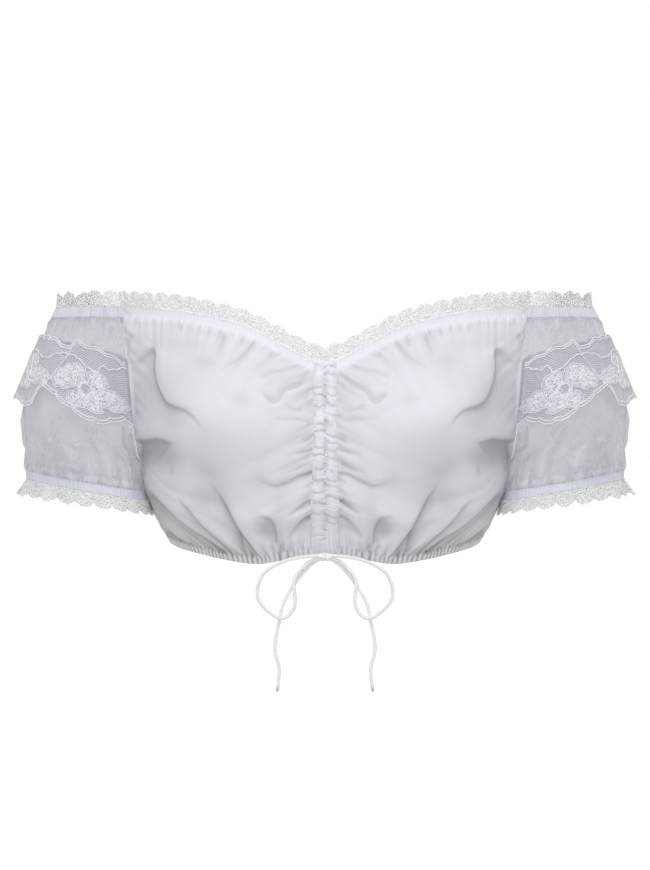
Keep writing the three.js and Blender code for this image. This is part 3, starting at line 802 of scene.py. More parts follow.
class Wiring:
    """Adds nodes to a tree and joins them."""

    def __init__(self, tree: bpy.types.NodeTree) -> None:
        """Works on one tree."""
        self.tree = tree

    def fill(self, node: bpy.types.Node, inputs: dict) -> None:
        """Gives a node's inputs their values.

        Args:
            node: the node.
            inputs: values or sockets to read, by the input's name or number.
        """
        for key, value in inputs.items():
            if isinstance(value, Socket):
                self.tree.links.new(value, node.inputs[key])
            else:
                node.inputs[key].default_value = value

    def add(self, kind: str, inputs: dict | None = None, **settings: object) -> bpy.types.Node:
        """Adds a node.

        Args:
            kind: the node's type.
            inputs: values or sockets for its inputs, by name or number.
            **settings: its properties.

        Returns:
            The node.
        """
        node = self.tree.nodes.new(kind)
        for key, value in settings.items():
            setattr(node, key, value)
        self.fill(node, inputs or {})
        return node

    def math(self, operation: str, a: object, b: object = 0.0, c: object = 0.0) -> Socket:
        """The result of a Math node."""
        return self.add("ShaderNodeMath", {0: a, 1: b, 2: c}, operation=operation).outputs[0]

    def level(self, share: Socket, low: object, high: object) -> Socket:
        """A number between two, by a share."""
        return self.add("ShaderNodeMix", {0: share, 2: low, 3: high}, data_type="FLOAT").outputs[0]

    def blend(self, share: Socket, low: object, high: object) -> Socket:
        """A colour between two, by a share."""
        return self.add("ShaderNodeMix", {0: share, 6: low, 7: high}, data_type="RGBA").outputs[2]

    def ramp(self, value: Socket, low: object, high: object) -> Socket:
        """A number that goes from 0 at low to 1 at high."""
        return self.add("ShaderNodeMapRange", {0: value, 1: low, 2: high}).outputs[0]

    def noise(self, place: Socket, scale: object, **inputs: float) -> Socket:
        """Smooth noise over places."""
        return self.add("ShaderNodeTexNoise", {"Vector": place, "Scale": scale, **inputs}).outputs[0]

    def group(self, tree: bpy.types.NodeTree, inputs: dict) -> Socket:
        """The result of a node group."""
        return self.add("ShaderNodeGroup", inputs, node_tree=tree).outputs[0]

    def bump(self, strength: float, distance: float, height: Socket, **normal: Socket) -> Socket:
        """The surface's direction, or that of Normal, bent by a height."""
        inputs = {"Strength": strength, "Distance": distance, "Height": height, **normal}
        return self.add("ShaderNodeBump", inputs).outputs[0]

    def turn_to(self, way: Socket, axis: str, start: Socket | None = None, pivot: str = "AUTO") -> Socket:
        """The turn, on from a start, that points an axis along a way."""
        inputs = {"Vector": way} if start is None else {"Rotation": start, "Vector": way}
        return self.add("FunctionNodeAlignRotationToVector", inputs, axis=axis, pivot_axis=pivot).outputs[0]

    def tube(self, line: Socket, sides: object, radius: object, caps: bool) -> Socket:
        """A round tube.

        Args:
            line: the curve that it follows.
            sides: how many faces go round.
            radius: its radius in metres.
            caps: whether its ends are closed.

        Returns:
            The tube's mesh.
        """
        profile = self.add("GeometryNodeCurvePrimitiveCircle", {"Resolution": sides, "Radius": radius},
                           mode="RADIUS")
        inputs = {"Curve": line, "Profile Curve": profile.outputs[0], "Fill Caps": caps}
        return self.add("GeometryNodeCurveToMesh", inputs).outputs[0]


class GroupWiring(Wiring):
    """The wiring of a new node group with named inputs and one output."""

    def __init__(self, name: str, kind: TreeKind, inputs: dict[str, str], result: str) -> None:
        """Makes the group.

        Args:
            name: its name.
            kind: its kind.
            inputs: the short type of each input, by name.
            result: the short type of what it gives.
        """
        tree = bpy.data.node_groups.new(name, kind.value)
        for title, short in inputs.items():
            tree.interface.new_socket(title, in_out="INPUT", socket_type=f"NodeSocket{short}")
        tree.interface.new_socket("Result", in_out="OUTPUT", socket_type=f"NodeSocket{result}")
        super().__init__(tree)
        start = self.add("NodeGroupInput")
        self.given = {title: start.outputs[title] for title in inputs}
        self.end = self.add("NodeGroupOutput")

    def done(self, result: Socket) -> bpy.types.NodeTree:
        """Sends a result out and gives the finished group."""
        self.fill(self.end, {"Result": result})
        return self.tree

    def done_shape(self, shape: Socket) -> bpy.types.NodeTree:
        """Gives a shape the group's Finish and sends it out as plain mesh.

        Args:
            shape: the shape.

        Returns:
            The finished group.
        """
        real = self.add("GeometryNodeRealizeInstances", {0: shape})
        inputs = {"Geometry": real.outputs[0], "Material": self.given["Finish"]}
        return self.done(self.add("GeometryNodeSetMaterial", inputs).outputs[0])


def weave_group() -> bpy.types.NodeTree:
    """Plain weave: the height of threads that pass over and under each other."""
    wiring = GroupWiring("plain_weave", TreeKind.SHADER, {"Place": "Vector", "Threads": "Float"}, "Float")
    parts = wiring.add("ShaderNodeSeparateXYZ", {0: wiring.given["Place"]})
    rate = wiring.math("MULTIPLY", wiring.given["Threads"], math.pi)
    warp, weft = (wiring.math("SINE", wiring.math("MULTIPLY", parts.outputs[k], rate)) for k in (0, 1))
    return wiring.done(wiring.math("MULTIPLY_ADD", wiring.math("MULTIPLY", warp, weft), 0.5, 0.5))


def tint_group() -> bpy.types.NodeTree:
    """A colour that drifts between two over the cloth."""
    wiring = GroupWiring("soft_tint", TreeKind.SHADER, {
        "Place": "Vector", "Scale": "Float", "Low": "Color", "High": "Color"}, "Color")
    noise = wiring.noise(wiring.given["Place"], wiring.given["Scale"], Detail=3.0, Roughness=0.55)
    drift = wiring.ramp(noise, 0.32, 0.68)
    return wiring.done(wiring.blend(drift, wiring.given["Low"], wiring.given["High"]))


def crinkle_group() -> bpy.types.NodeTree:
    """The small unevenness of light cloth, as a height."""
    wiring = GroupWiring("crinkle", TreeKind.SHADER, {"Place": "Vector", "Scale": "Float"}, "Float")
    place, scale = wiring.given["Place"], wiring.given["Scale"]
    coarse = wiring.noise(place, scale, Detail=2.0, Distortion=0.6)
    fine = wiring.noise(place, wiring.math("MULTIPLY", scale, 5.0), Detail=2.0)
    return wiring.done(wiring.math("MULTIPLY_ADD", fine, 0.22, coarse))


def net_group() -> bpy.types.NodeTree:
    """A net of two slanting sets of threads: 1 on a thread and 0 in a gap."""
    wiring = GroupWiring("net", TreeKind.SHADER, {"Place": "Vector", "Pitch": "Float", "Thread": "Float"},
                         "Float")
    parts = wiring.add("ShaderNodeSeparateXYZ", {0: wiring.given["Place"]})
    wide, tall = (wiring.math("DIVIDE", parts.outputs[k], wiring.given["Pitch"]) for k in (0, 1))
    lines = []
    for operation in ("ADD", "SUBTRACT"):
        place = wiring.math("PINGPONG", wiring.math(operation, wide, tall), 0.5)
        lines.append(wiring.ramp(place, wiring.given["Thread"], 0.0))
    return wiring.done(wiring.math("MAXIMUM", *lines))


def thread_work_group() -> bpy.types.NodeTree:
    """The speckle of close thread work: 1 on a thread and 0 in the gaps between, where shade is painted."""
    wiring = GroupWiring("thread_work", TreeKind.SHADER, {"Place": "Vector", "Scale": "Float"}, "Float")
    inputs = {"Vector": wiring.given["Place"], "Scale": wiring.given["Scale"], "Randomness": 0.85}
    cells = wiring.add("ShaderNodeTexVoronoi", inputs, feature="DISTANCE_TO_EDGE")
    return wiring.done(wiring.ramp(cells.outputs[0], 0.32, 0.08))


class Effects:
    """The shader effects that several finishes use, each built once."""

    def __init__(self) -> None:
        """Builds the node groups."""
        self.weave = weave_group()
        self.tint = tint_group()
        self.crinkle = crinkle_group()
        self.net = net_group()
        self.thread_work = thread_work_group()


class FinishWiring(Wiring):
    """The wiring of a new material, with its shader and what the finishes read of the cloth."""

    def __init__(self, name: str) -> None:
        """Makes the material.

        Args:
            name: its name.
        """
        self.material = bpy.data.materials.new(name)
        self.material.use_nodes = True
        super().__init__(self.material.node_tree)
        place = self.add("ShaderNodeTexCoord")
        self.flat = place.outputs["UV"]
        self.solid = place.outputs["Object"]
        # This point attribute holds lace density and cord wear, and on cloth how much shade is painted in, on
        # the organza how much highlight.
        self.density_wear_and_painted_light = self.add("ShaderNodeAttribute", attribute_name="density_wear_and_painted_light").outputs["Fac"]

    def done(self, inputs: dict) -> bpy.types.Material:
        """Gives the shader its inputs and hands over the finished material."""
        self.fill(self.tree.nodes["Principled BSDF"], inputs)
        return self.material


def tone(red: int, green: int, blue: int) -> Colour:
    """A colour as the shader takes it, from its values on a screen, 0 to 255."""
    parts = [v / 255 for v in (red, green, blue)]
    return (*(v / 12.92 if v <= 0.04045 else ((v + 0.055) / 1.055) ** 2.4 for v in parts), 1.0)


@dataclass(frozen=True)
class ClothFinish:
    """Woven cloth, close or sheer, which goes towards its painted colour where the point attribute for
    painted shade and highlight is 1.

    low and high are the tones it drifts between. threads and weave are the weave's count to a metre
    and strength, crinkle_scale and crinkle the scale and height of its unevenness. alpha under 1
    makes it sheer, by alpha_swing more on the crinkles. The painted colour is painted shade, darker in
    the creases and between the gathers, on close cloth, and painted highlight on the organza where it
    bunches; its share is how far the colour goes, and its alpha how much more opaque the cloth gets there.
    """

    name: str
    low: Colour
    high: Colour
    threads: float = 2600.0
    weave: float = 0.12
    crinkle_scale: float = 60.0
    crinkle: float = 0.0004
    roughness: float = 0.8
    sheen: float = 0.15
    alpha: float = 1.0
    alpha_swing: float = 0.0
    # Painted shade: the warm dark tone painted into creases and between gathers.
    painted_light: Colour = (0.31, 0.265, 0.26, 1.0)
    painted_light_share: float = 0.8
    painted_light_alpha: float = 0.5
    drift: float = 14.0
    weave_height: float = 0.0001

    def material(self, effects: Effects) -> bpy.types.Material:
        """Builds the material.

        Args:
            effects: the shared effects.

        Returns:
            The material.
        """
        wiring = FinishWiring(self.name)
        tint = wiring.group(effects.tint, {"Place": wiring.solid, "Scale": self.drift, "Low": self.low,
                                           "High": self.high})
        # How far the colour goes towards the painted shade, which on the organza is painted highlight.
        shade = wiring.math("MULTIPLY", wiring.density_wear_and_painted_light, self.painted_light_share)
        crinkle = wiring.group(effects.crinkle, {"Place": wiring.solid, "Scale": self.crinkle_scale})
        weave = wiring.group(effects.weave, {"Place": wiring.flat, "Threads": self.threads})
        soft = wiring.bump(1.0, self.crinkle, crinkle)
        inputs = {"Base Color": wiring.blend(shade, tint, self.painted_light),
                  "Normal": wiring.bump(self.weave, self.weave_height, weave, Normal=soft),
                  "Roughness": self.roughness, "Sheen Weight": self.sheen, "Sheen Roughness": 0.4,
                  "Specular IOR Level": 0.25}
        if self.alpha < 1.0:
            base = wiring.math("MULTIPLY_ADD", wiring.density_wear_and_painted_light, self.painted_light_alpha, self.alpha)
            inputs["Alpha"] = wiring.math("MULTIPLY_ADD", crinkle, self.alpha_swing, base)
        return wiring.done(inputs)


@dataclass(frozen=True)
class LaceFinish:
    """Lace cloth: net where the point attribute for density is 0, thread work where it is 1.

    The two gap tones are painted shade between the threads of the net and of the thread work,
    net_cover and dense_cover how opaque they are. pitch is the net's in metres, thread its threads'
    share of it, and speckle the scale of the thread work.
    """

    name: str
    colour: Colour
    gap_shade_colour: Colour
    work_gap_shade: Colour
    pitch: float = 0.0021
    thread: float = 0.27
    net_cover: float = 0.35
    speckle: float = 560.0
    dense_cover: float = 0.8
    thread_height: float = 0.0004

    def material(self, effects: Effects) -> bpy.types.Material:
        """Builds the material.

        Args:
            effects: the shared effects.

        Returns:
            The material.
        """
        wiring = FinishWiring(self.name)
        density_wear_and_painted_light = wiring.density_wear_and_painted_light
        net = wiring.group(effects.net, {"Place": wiring.flat, "Pitch": self.pitch, "Thread": self.thread})
        work = wiring.group(effects.thread_work, {"Place": wiring.flat, "Scale": self.speckle})
        thin = wiring.math("MULTIPLY_ADD", net, 1.0 - self.net_cover, self.net_cover)
        thick = wiring.math("MULTIPLY_ADD", work, 1.0 - self.dense_cover, self.dense_cover)
        threads = wiring.level(density_wear_and_painted_light, net, work)
        gap = wiring.blend(density_wear_and_painted_light, self.gap_shade_colour, self.work_gap_shade)
        return wiring.done({"Alpha": wiring.level(density_wear_and_painted_light, thin, thick),
                            "Base Color": wiring.blend(threads, gap, self.colour),
                            "Normal": wiring.bump(0.7, self.thread_height, threads),
                            "Roughness": 0.85, "Sheen Weight": 0.1, "Specular IOR Level": 0.2})


@dataclass(frozen=True)
class ThreadFinish:
    """Thread or cord with a fine twist along it, worn where the point attribute for wear is 1.

    low and high are the tones it drifts between, twist and bump its twist's count to a metre and
    strength.
    """

    name: str
    low: Colour
    high: Colour
    twist: float = 2200.0
    bump: float = 0.25
    worn: Colour = (0.35, 0.34, 0.32, 1.0)
    drift: float = 60.0
    twist_height: float = 0.0002

    def material(self, effects: Effects) -> bpy.types.Material:
        """Builds the material.

        Args:
            effects: the shared effects.

        Returns:
            The material.
        """
        wiring = FinishWiring(self.name)
        twist = wiring.group(effects.weave, {"Place": wiring.flat, "Threads": self.twist})
        tint = wiring.group(effects.tint, {"Place": wiring.solid, "Scale": self.drift, "Low": self.low,
                                           "High": self.high})
        return wiring.done({"Base Color": wiring.blend(wiring.density_wear_and_painted_light, tint, self.worn),
                            "Normal": wiring.bump(self.bump, self.twist_height, twist),
                            "Roughness": 0.75, "Sheen Weight": 0.1})


class Finishes:
    """Every finish of the blouse as a material."""

    def __init__(self) -> None:
        """Builds the shared effects and the materials."""
        effects = Effects()
        # Cloth, lining, casings and tunnels take painted shade in their creases, gathers and puckers.
        self.cloth = ClothFinish("light_cotton", tone(240, 241, 246), tone(246, 247, 252)).material(effects)
        self.lining = ClothFinish("light_cotton_back", tone(237, 238, 243),
                                  tone(243, 244, 249)).material(effects)
        self.band = ClothFinish("gathered_casing", tone(236, 240, 250), tone(244, 247, 254), alpha=0.72,
                                alpha_swing=0.16).material(effects)
        self.tunnel = ClothFinish("ruched_tunnel", tone(240, 241, 247),
                                  tone(247, 248, 253)).material(effects)
        # The organza's painted colour is white: painted highlight on its gathers, crease lines and bunched
        # patches, which also get more opaque.
        self.organza = ClothFinish("organza", tone(198, 200, 206), tone(214, 216, 221), threads=1500.0,
                                   weave=0.05, crinkle_scale=45.0, crinkle=0.0012, roughness=0.55,
                                   sheen=0.3, alpha=0.2, alpha_swing=0.16,
                                   painted_light=tone(244, 245, 250)).material(effects)
        # The lace's gap tones are painted shade between its threads.
        self.flounce = LaceFinish("flower_lace", tone(250, 250, 254), tone(200, 201, 210),
                                  tone(184, 185, 196), net_cover=0.2, speckle=480.0).material(effects)
        self.edging = LaceFinish("crochet_ground", tone(252, 252, 252), tone(120, 120, 125),
                                 tone(248, 248, 250), pitch=0.0027, thread=0.3, net_cover=0.55,
                                 speckle=430.0, dense_cover=0.0).material(effects)
        self.crochet = ThreadFinish("crochet_thread", tone(249, 248, 246),
                                    tone(254, 254, 252)).material(effects)
        self.lace_thread = ThreadFinish("lace_thread", tone(240, 240, 248),
                                        tone(250, 250, 254)).material(effects)
        self.sewing = ThreadFinish("sewing_thread", tone(236, 237, 244),
                                   tone(246, 247, 252)).material(effects)
        self.cord = ThreadFinish("braided_cord", tone(248, 247, 244), tone(254, 253, 251), twist=1400.0,
                                 bump=0.6).material(effects)


# Geometry Nodes trees


def stitch_tree() -> bpy.types.NodeTree:
    """Stitches at even steps along lines of edges."""
    wiring = GroupWiring("stitch_rows", TreeKind.SHAPE, {
        "Lines": "Geometry", "Pitch": "Float", "Length": "Float", "Radius": "Float", "Seed": "Int",
        "Finish": "Material"}, "Geometry")
    given = wiring.given
    curves = wiring.add("GeometryNodeMeshToCurve", {"Mesh": given["Lines"]})
    points = wiring.add("GeometryNodeCurveToPoints", {"Curve": curves.outputs[0], "Length": given["Pitch"]},
                        mode="LENGTH")
    ball = wiring.add("GeometryNodeMeshUVSphere", {"Segments": 5, "Rings": 3, "Radius": 1.0})
    jitter = wiring.add("FunctionNodeRandomValue", {"Seed": given["Seed"], 2: 0.85, 3: 1.1},
                        data_type="FLOAT")
    half = wiring.math("MULTIPLY", wiring.math("MULTIPLY", given["Length"], 0.5), jitter.outputs[1])
    size = wiring.add("ShaderNodeCombineXYZ", {0: given["Radius"], 1: given["Radius"], 2: half})
    placed = wiring.add("GeometryNodeInstanceOnPoints", {
        "Points": points.outputs[0], "Instance": ball.outputs[0],
        "Rotation": wiring.turn_to(points.outputs["Tangent"], "Z"), "Scale": size.outputs[0]})
    return wiring.done_shape(placed.outputs[0])


def crochet_tree() -> bpy.types.NodeTree:
    """Small rings of thread on points that carry the attributes facing, along and size."""
    wiring = GroupWiring("crochet_rings", TreeKind.SHAPE, {
        "Points": "Geometry", "Thread": "Float", "Tilt": "Float", "Seed": "Int", "Finish": "Material"},
        "Geometry")
    given = wiring.given
    named = {}
    for name, kind in (("facing", "FLOAT_VECTOR"), ("along", "FLOAT_VECTOR"), ("size", "FLOAT")):
        named[name] = wiring.add("GeometryNodeInputNamedAttribute", {"Name": name}, data_type=kind).outputs[0]
    ring = wiring.add("GeometryNodeCurvePrimitiveCircle", {"Resolution": 7, "Radius": 1.0}, mode="RADIUS")
    tube = wiring.tube(ring.outputs[0], 3, given["Thread"], False)
    turned = wiring.turn_to(named["along"], "X", wiring.turn_to(named["facing"], "Z"), "Z")
    down = wiring.math("MULTIPLY", given["Tilt"], -1.0)
    low = wiring.add("ShaderNodeCombineXYZ", {0: down, 1: down, 2: -3.1})
    high = wiring.add("ShaderNodeCombineXYZ", {0: given["Tilt"], 1: given["Tilt"], 2: 3.1})
    lean = wiring.add("FunctionNodeRandomValue", {0: low.outputs[0], 1: high.outputs[0],
                                                  "Seed": given["Seed"]}, data_type="FLOAT_VECTOR")
    angle = wiring.add("FunctionNodeEulerToRotation", {0: lean.outputs[0]})
    leant = wiring.add("FunctionNodeRotateRotation", {0: turned, 1: angle.outputs[0]},
                       rotation_space="LOCAL")
    placed = wiring.add("GeometryNodeInstanceOnPoints", {
        "Points": given["Points"], "Instance": tube, "Rotation": leant.outputs[0], "Scale": named["size"]})
    return wiring.done_shape(placed.outputs[0])


def thread_tree() -> bpy.types.NodeTree:
    """Round threads along lines of edges."""
    wiring = GroupWiring("laid_threads", TreeKind.SHAPE, {
        "Lines": "Geometry", "Radius": "Float", "Sides": "Int", "Finish": "Material"}, "Geometry")
    given = wiring.given
    curves = wiring.add("GeometryNodeMeshToCurve", {"Mesh": given["Lines"]})
    return wiring.done_shape(wiring.tube(curves.outputs[0], given["Sides"], given["Radius"], True))


def grown(name: str, source: bpy.types.Mesh, tree: bpy.types.NodeTree, values: dict) -> bpy.types.Object:
    """Runs a Geometry Nodes tree on a mesh and keeps the result as a plain mesh.

    Args:
        name: the new object's name.
        source: the mesh that the tree takes.
        tree: the tree.
        values: its other inputs, by name.

    Returns:
        The object.
    """
    host = bpy.data.objects.new(name, source)
    bpy.context.scene.collection.objects.link(host)
    modifier = host.modifiers.new("grow", "NODES")
    modifier.node_group = tree
    for item in tree.interface.items_tree:
        if item.in_out == "INPUT" and item.name in values:
            modifier[item.identifier] = values[item.name]
    graph = bpy.context.evaluated_depsgraph_get()
    mesh = bpy.data.meshes.new_from_object(host.evaluated_get(graph), depsgraph=graph)
    bpy.data.objects.remove(host)
    return finished(name, mesh, None)


def line_mesh(name: str, lines: list[Array]) -> bpy.types.Mesh:
    """A mesh of edges along lines.

    Args:
        name: the mesh's name.
        lines: each line's points in millimetres.

    Returns:
        The mesh.
    """
    mesh = bpy.data.meshes.new(name)
    points, edges, count = [], [], 0
    for line in lines:
        points.extend((line * MM).tolist())
        edges.extend([i, i + 1] for i in range(count, count + len(line) - 1))
        count += len(line)
    mesh.from_pydata(points, edges, [])
    return mesh


def point_mesh(name: str, places: Array, facing: Array, along: Array, size: Array) -> bpy.types.Mesh:
    """A mesh of loose points with the attributes that crochet_tree reads.

    Args:
        name: the mesh's name.
        places: the points in millimetres.
        facing: the way out of the lace at each.
        along: the way the lace stands at each.
        size: each ring's size in millimetres.

    Returns:
        The mesh.
    """
    mesh = bpy.data.meshes.new(name)
    mesh.from_pydata((places * MM).tolist(), [], [])
    for title, data in (("facing", facing), ("along", along)):
        layer = mesh.attributes.new(title, "FLOAT_VECTOR", "POINT")
        layer.data.foreach_set("vector", np.ascontiguousarray(data, dtype=np.float32).ravel())
    layer = mesh.attributes.new("size", "FLOAT", "POINT")
    layer.data.foreach_set("value", np.ascontiguousarray(size * MM, dtype=np.float32))
    return mesh


# The studio


@dataclass(frozen=True)
class Lamp:
    """A square soft light in metres, which points at a height in the middle."""

    name: str
    place: tuple[float, float, float]
    size: float
    power: float
    aim_height: float = -0.1
    colour: tuple[float, float, float] = (0.94, 0.965, 1.0)

    def build(self) -> None:
        """Makes the light."""
        data = bpy.data.lights.new(self.name, "AREA")
        data.shape = "SQUARE"
        data.size = self.size
        data.energy = self.power
        data.color = self.colour
        lamp = bpy.data.objects.new(self.name, data)
        lamp.location = self.place
        forward = unit(np.array([0.0, 0.0, self.aim_height]) - np.array(self.place))
        across = unit(np.cross(forward, (0.0, 0.0, 1.0)))
        up = np.cross(across, forward)
        turn = np.stack([across, up, -forward], axis=1)
        lamp.rotation_euler = Matrix(turn.tolist()).to_euler()
        bpy.context.scene.collection.objects.link(lamp)


@dataclass(frozen=True)
class Studio:
    """The camera at the photograph's angle, the pale floor and the soft lights, in metres."""

    view_width: float = 0.585
    sensor: float = 36.0
    floor_height: float = -0.75
    floor_size: float = 120.0
    floor_glow: float = 0.76
    ambient: float = 0.47
    ambient_colour: Colour = (1.0, 0.965, 0.97, 1.0)
    lamps: tuple[Lamp, ...] = (
        Lamp("key", (0.0, -1.3, 1.9), 1.2, 20.5), Lamp("front_fill", (0.0, -3.2, 0.0), 1.6, 26.0, -0.15),
        Lamp("left_fill", (-2.3, 0.7, 0.5), 1.2, 9.0), Lamp("right_fill", (2.3, 0.7, 0.5), 1.2, 9.0),
        Lamp("back_rim", (0.0, 2.2, 1.2), 1.5, 26.0))

    def camera(self) -> None:
        """Makes the camera, level and straight in front."""
        data = bpy.data.cameras.new("camera")
        data.sensor_fit = "HORIZONTAL"
        data.sensor_width = self.sensor
        data.lens = self.sensor * EYE_DISTANCE * MM / self.view_width
        data.clip_end = 100.0
        camera = bpy.data.objects.new("camera", data)
        camera.location = (0.0, -EYE_DISTANCE * MM, EYE_HEIGHT * MM)
        camera.rotation_euler = (math.pi / 2, 0.0, 0.0)
        bpy.context.scene.collection.objects.link(camera)
        bpy.context.scene.camera = camera

    def floor(self) -> None:
        """Makes the pale floor, which lets a view from below through."""
        half = self.floor_size / 2
        mesh = bpy.data.meshes.new("floor")
        corners = [(x * half, y * half, self.floor_height) for x, y in ((-1, -1), (1, -1), (1, 1), (-1, 1))]
        mesh.from_pydata(corners, [], [(0, 1, 2, 3)])
        material = bpy.data.materials.new("pale_floor")
        material.use_nodes = True
        wiring = Wiring(material.node_tree)
        shader = wiring.tree.nodes["Principled BSDF"]
        seen = wiring.add("ShaderNodeLightPath").outputs["Is Camera Ray"]
        wiring.fill(shader, {"Base Color": (0.6, 0.6, 0.6, 1.0), "Roughness": 1.0,
                             "Emission Color": (1.0, 1.0, 1.0, 1.0),
                             "Emission Strength": wiring.math("MULTIPLY", seen, self.floor_glow)})
        under = wiring.add("ShaderNodeNewGeometry").outputs["Backfacing"]
        clear = wiring.add("ShaderNodeBsdfTransparent")
        either = wiring.add("ShaderNodeMixShader", {0: under, 1: shader.outputs[0], 2: clear.outputs[0]})
        wiring.fill(wiring.tree.nodes["Material Output"], {"Surface": either.outputs[0]})
        mesh.materials.append(material)
        floor = bpy.data.objects.new("floor", mesh)
        bpy.context.scene.collection.objects.link(floor)

    def surroundings(self) -> None:
        """Makes the white surroundings, dimmer as a light than as a background."""
        world = bpy.data.worlds.new("surroundings")
        world.use_nodes = True
        bpy.context.scene.world = world
        wiring = Wiring(world.node_tree)
        soft = wiring.tree.nodes["Background"]
        wiring.fill(soft, {"Color": self.ambient_colour, "Strength": self.ambient})
        seen = wiring.add("ShaderNodeBackground", {"Color": (1.0, 1.0, 1.0, 1.0), "Strength": 1.0})
        path = wiring.add("ShaderNodeLightPath")
        either = wiring.add("ShaderNodeMixShader", {0: path.outputs["Is Camera Ray"], 1: soft.outputs[0],
                                                    2: seen.outputs[0]})
        wiring.fill(wiring.tree.nodes["World Output"], {"Surface": either.outputs[0]})

    def build(self) -> None:
        """Sets the studio up."""
        self.camera()
        self.floor()
        self.surroundings()
        for lamp in self.lamps:
            lamp.build()
        bpy.context.scene.view_settings.view_transform = "Standard"


class Workshop:
    """What the pieces are made with: the finishes and the Geometry Nodes trees."""

    def __init__(self) -> None:
        """Builds the finishes and the trees."""
        self.finishes = Finishes()
        self.stitches = stitch_tree()
        self.rings = crochet_tree()
        self.threads = thread_tree()

    def keep(self, piece: bpy.types.Object, slot: str, *nodes: str) -> bpy.types.Object:
        """Ties a finished piece to the model.

        Args:
            piece: the piece.
            slot: not used.
            *nodes: the fixed nodes that it stands for.

        Returns:
            The piece.
        """
        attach(piece, ROOT)
        if nodes:
            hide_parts(*nodes)
        LOG.info("%s: %d faces", piece.name, len(piece.data.polygons))
        return piece

    def sew(self, name: str, lines: list[Array], slot: str, pitch: float = 2.6, length: float = 2.0,
            radius: float = 0.22, seed: int = 1) -> bpy.types.Object:
        """Rows of machine stitches.

        Args:
            name: the piece's name.
            lines: each row's points in millimetres.
            slot: passed on to keep, which does not use it.
            pitch: the distance between stitches in millimetres.
            length: a stitch's length in millimetres.
            radius: the thread's radius in millimetres.
            seed: which unevenness.

        Returns:
            The piece.
        """
        piece = grown(name, line_mesh(name, lines), self.stitches, {
            "Pitch": pitch * MM, "Length": length * MM, "Radius": radius * MM, "Seed": seed,
            "Finish": self.finishes.sewing})
        return self.keep(piece, slot)

    def thread(self, name: str, lines: list[Array], slot: str, radius: float,
               sides: int = 5) -> bpy.types.Object:
        """Round lace threads.

        Args:
            name: the piece's name.
            lines: each thread's points in millimetres.
            slot: passed on to keep, which does not use it.
            radius: the threads' radius in millimetres.
            sides: how many faces go round one.

        Returns:
            The piece.
        """
        piece = grown(name, line_mesh(name, lines), self.threads, {
            "Radius": radius * MM, "Sides": sides, "Finish": self.finishes.lace_thread})
        return self.keep(piece, slot)


# The cord


def cord_tube(name: str, route: Array, radii: Array, sides: int, material: bpy.types.Material,
              worn: Array | None = None) -> bpy.types.Object:
    """A round tube along a route of points in millimetres.

    Args:
        name: the object's name.
        route: the centreline.
        radii: the radius at each of its points.
        sides: how many faces go round.
        material: its finish.
        worn: how worn the cord is at each point, from 0 to 1.

    Returns:
        The tube, closed at both ends.
    """
    along = unit(np.gradient(route, axis=0))
    first = unit(np.cross(along, (0.0, 1.0, 0.06)))
    second = np.cross(along, first)
    turns = np.linspace(0.0, 2.0 * math.pi, sides + 1)
    rings = route[:, None] + radii[:, None, None] * (
        np.cos(turns)[None, :, None] * first[:, None] + np.sin(turns)[None, :, None] * second[:, None])
    run = np.concatenate([[0.0], np.cumsum(np.linalg.norm(np.diff(route, axis=0), axis=1))]) * MM
    places = np.linspace(-1.0, 1.0, sides + 1)
    tube = WallMesh()
    caps = [np.repeat(route[:1], sides + 1, axis=0), *rings, np.repeat(route[-1:], sides + 1, axis=0)]
    lengths = [run[0], *run, run[-1]]
    marks = np.zeros(len(route)) if worn is None else worn
    marks = [marks[0], *marks, marks[-1]]
    around = turns * float(radii.max()) * MM
    rows = [
        tube.row(points, places, np.stack([around, np.full(sides + 1, far)], axis=1),
                 np.full(sides + 1, mark))
        for points, far, mark in zip(caps, lengths, marks)
    ]
    for low, high in zip(rows, rows[1:]):
        tube.bridge(low, high)
    return tube.build(name, material, weld=True)


class CordRun(Enum):
    """The two kinds of cord that leave the knot, as they begin a piece's name."""

    LOOP = "bow_loop"
    END = "cord_end"


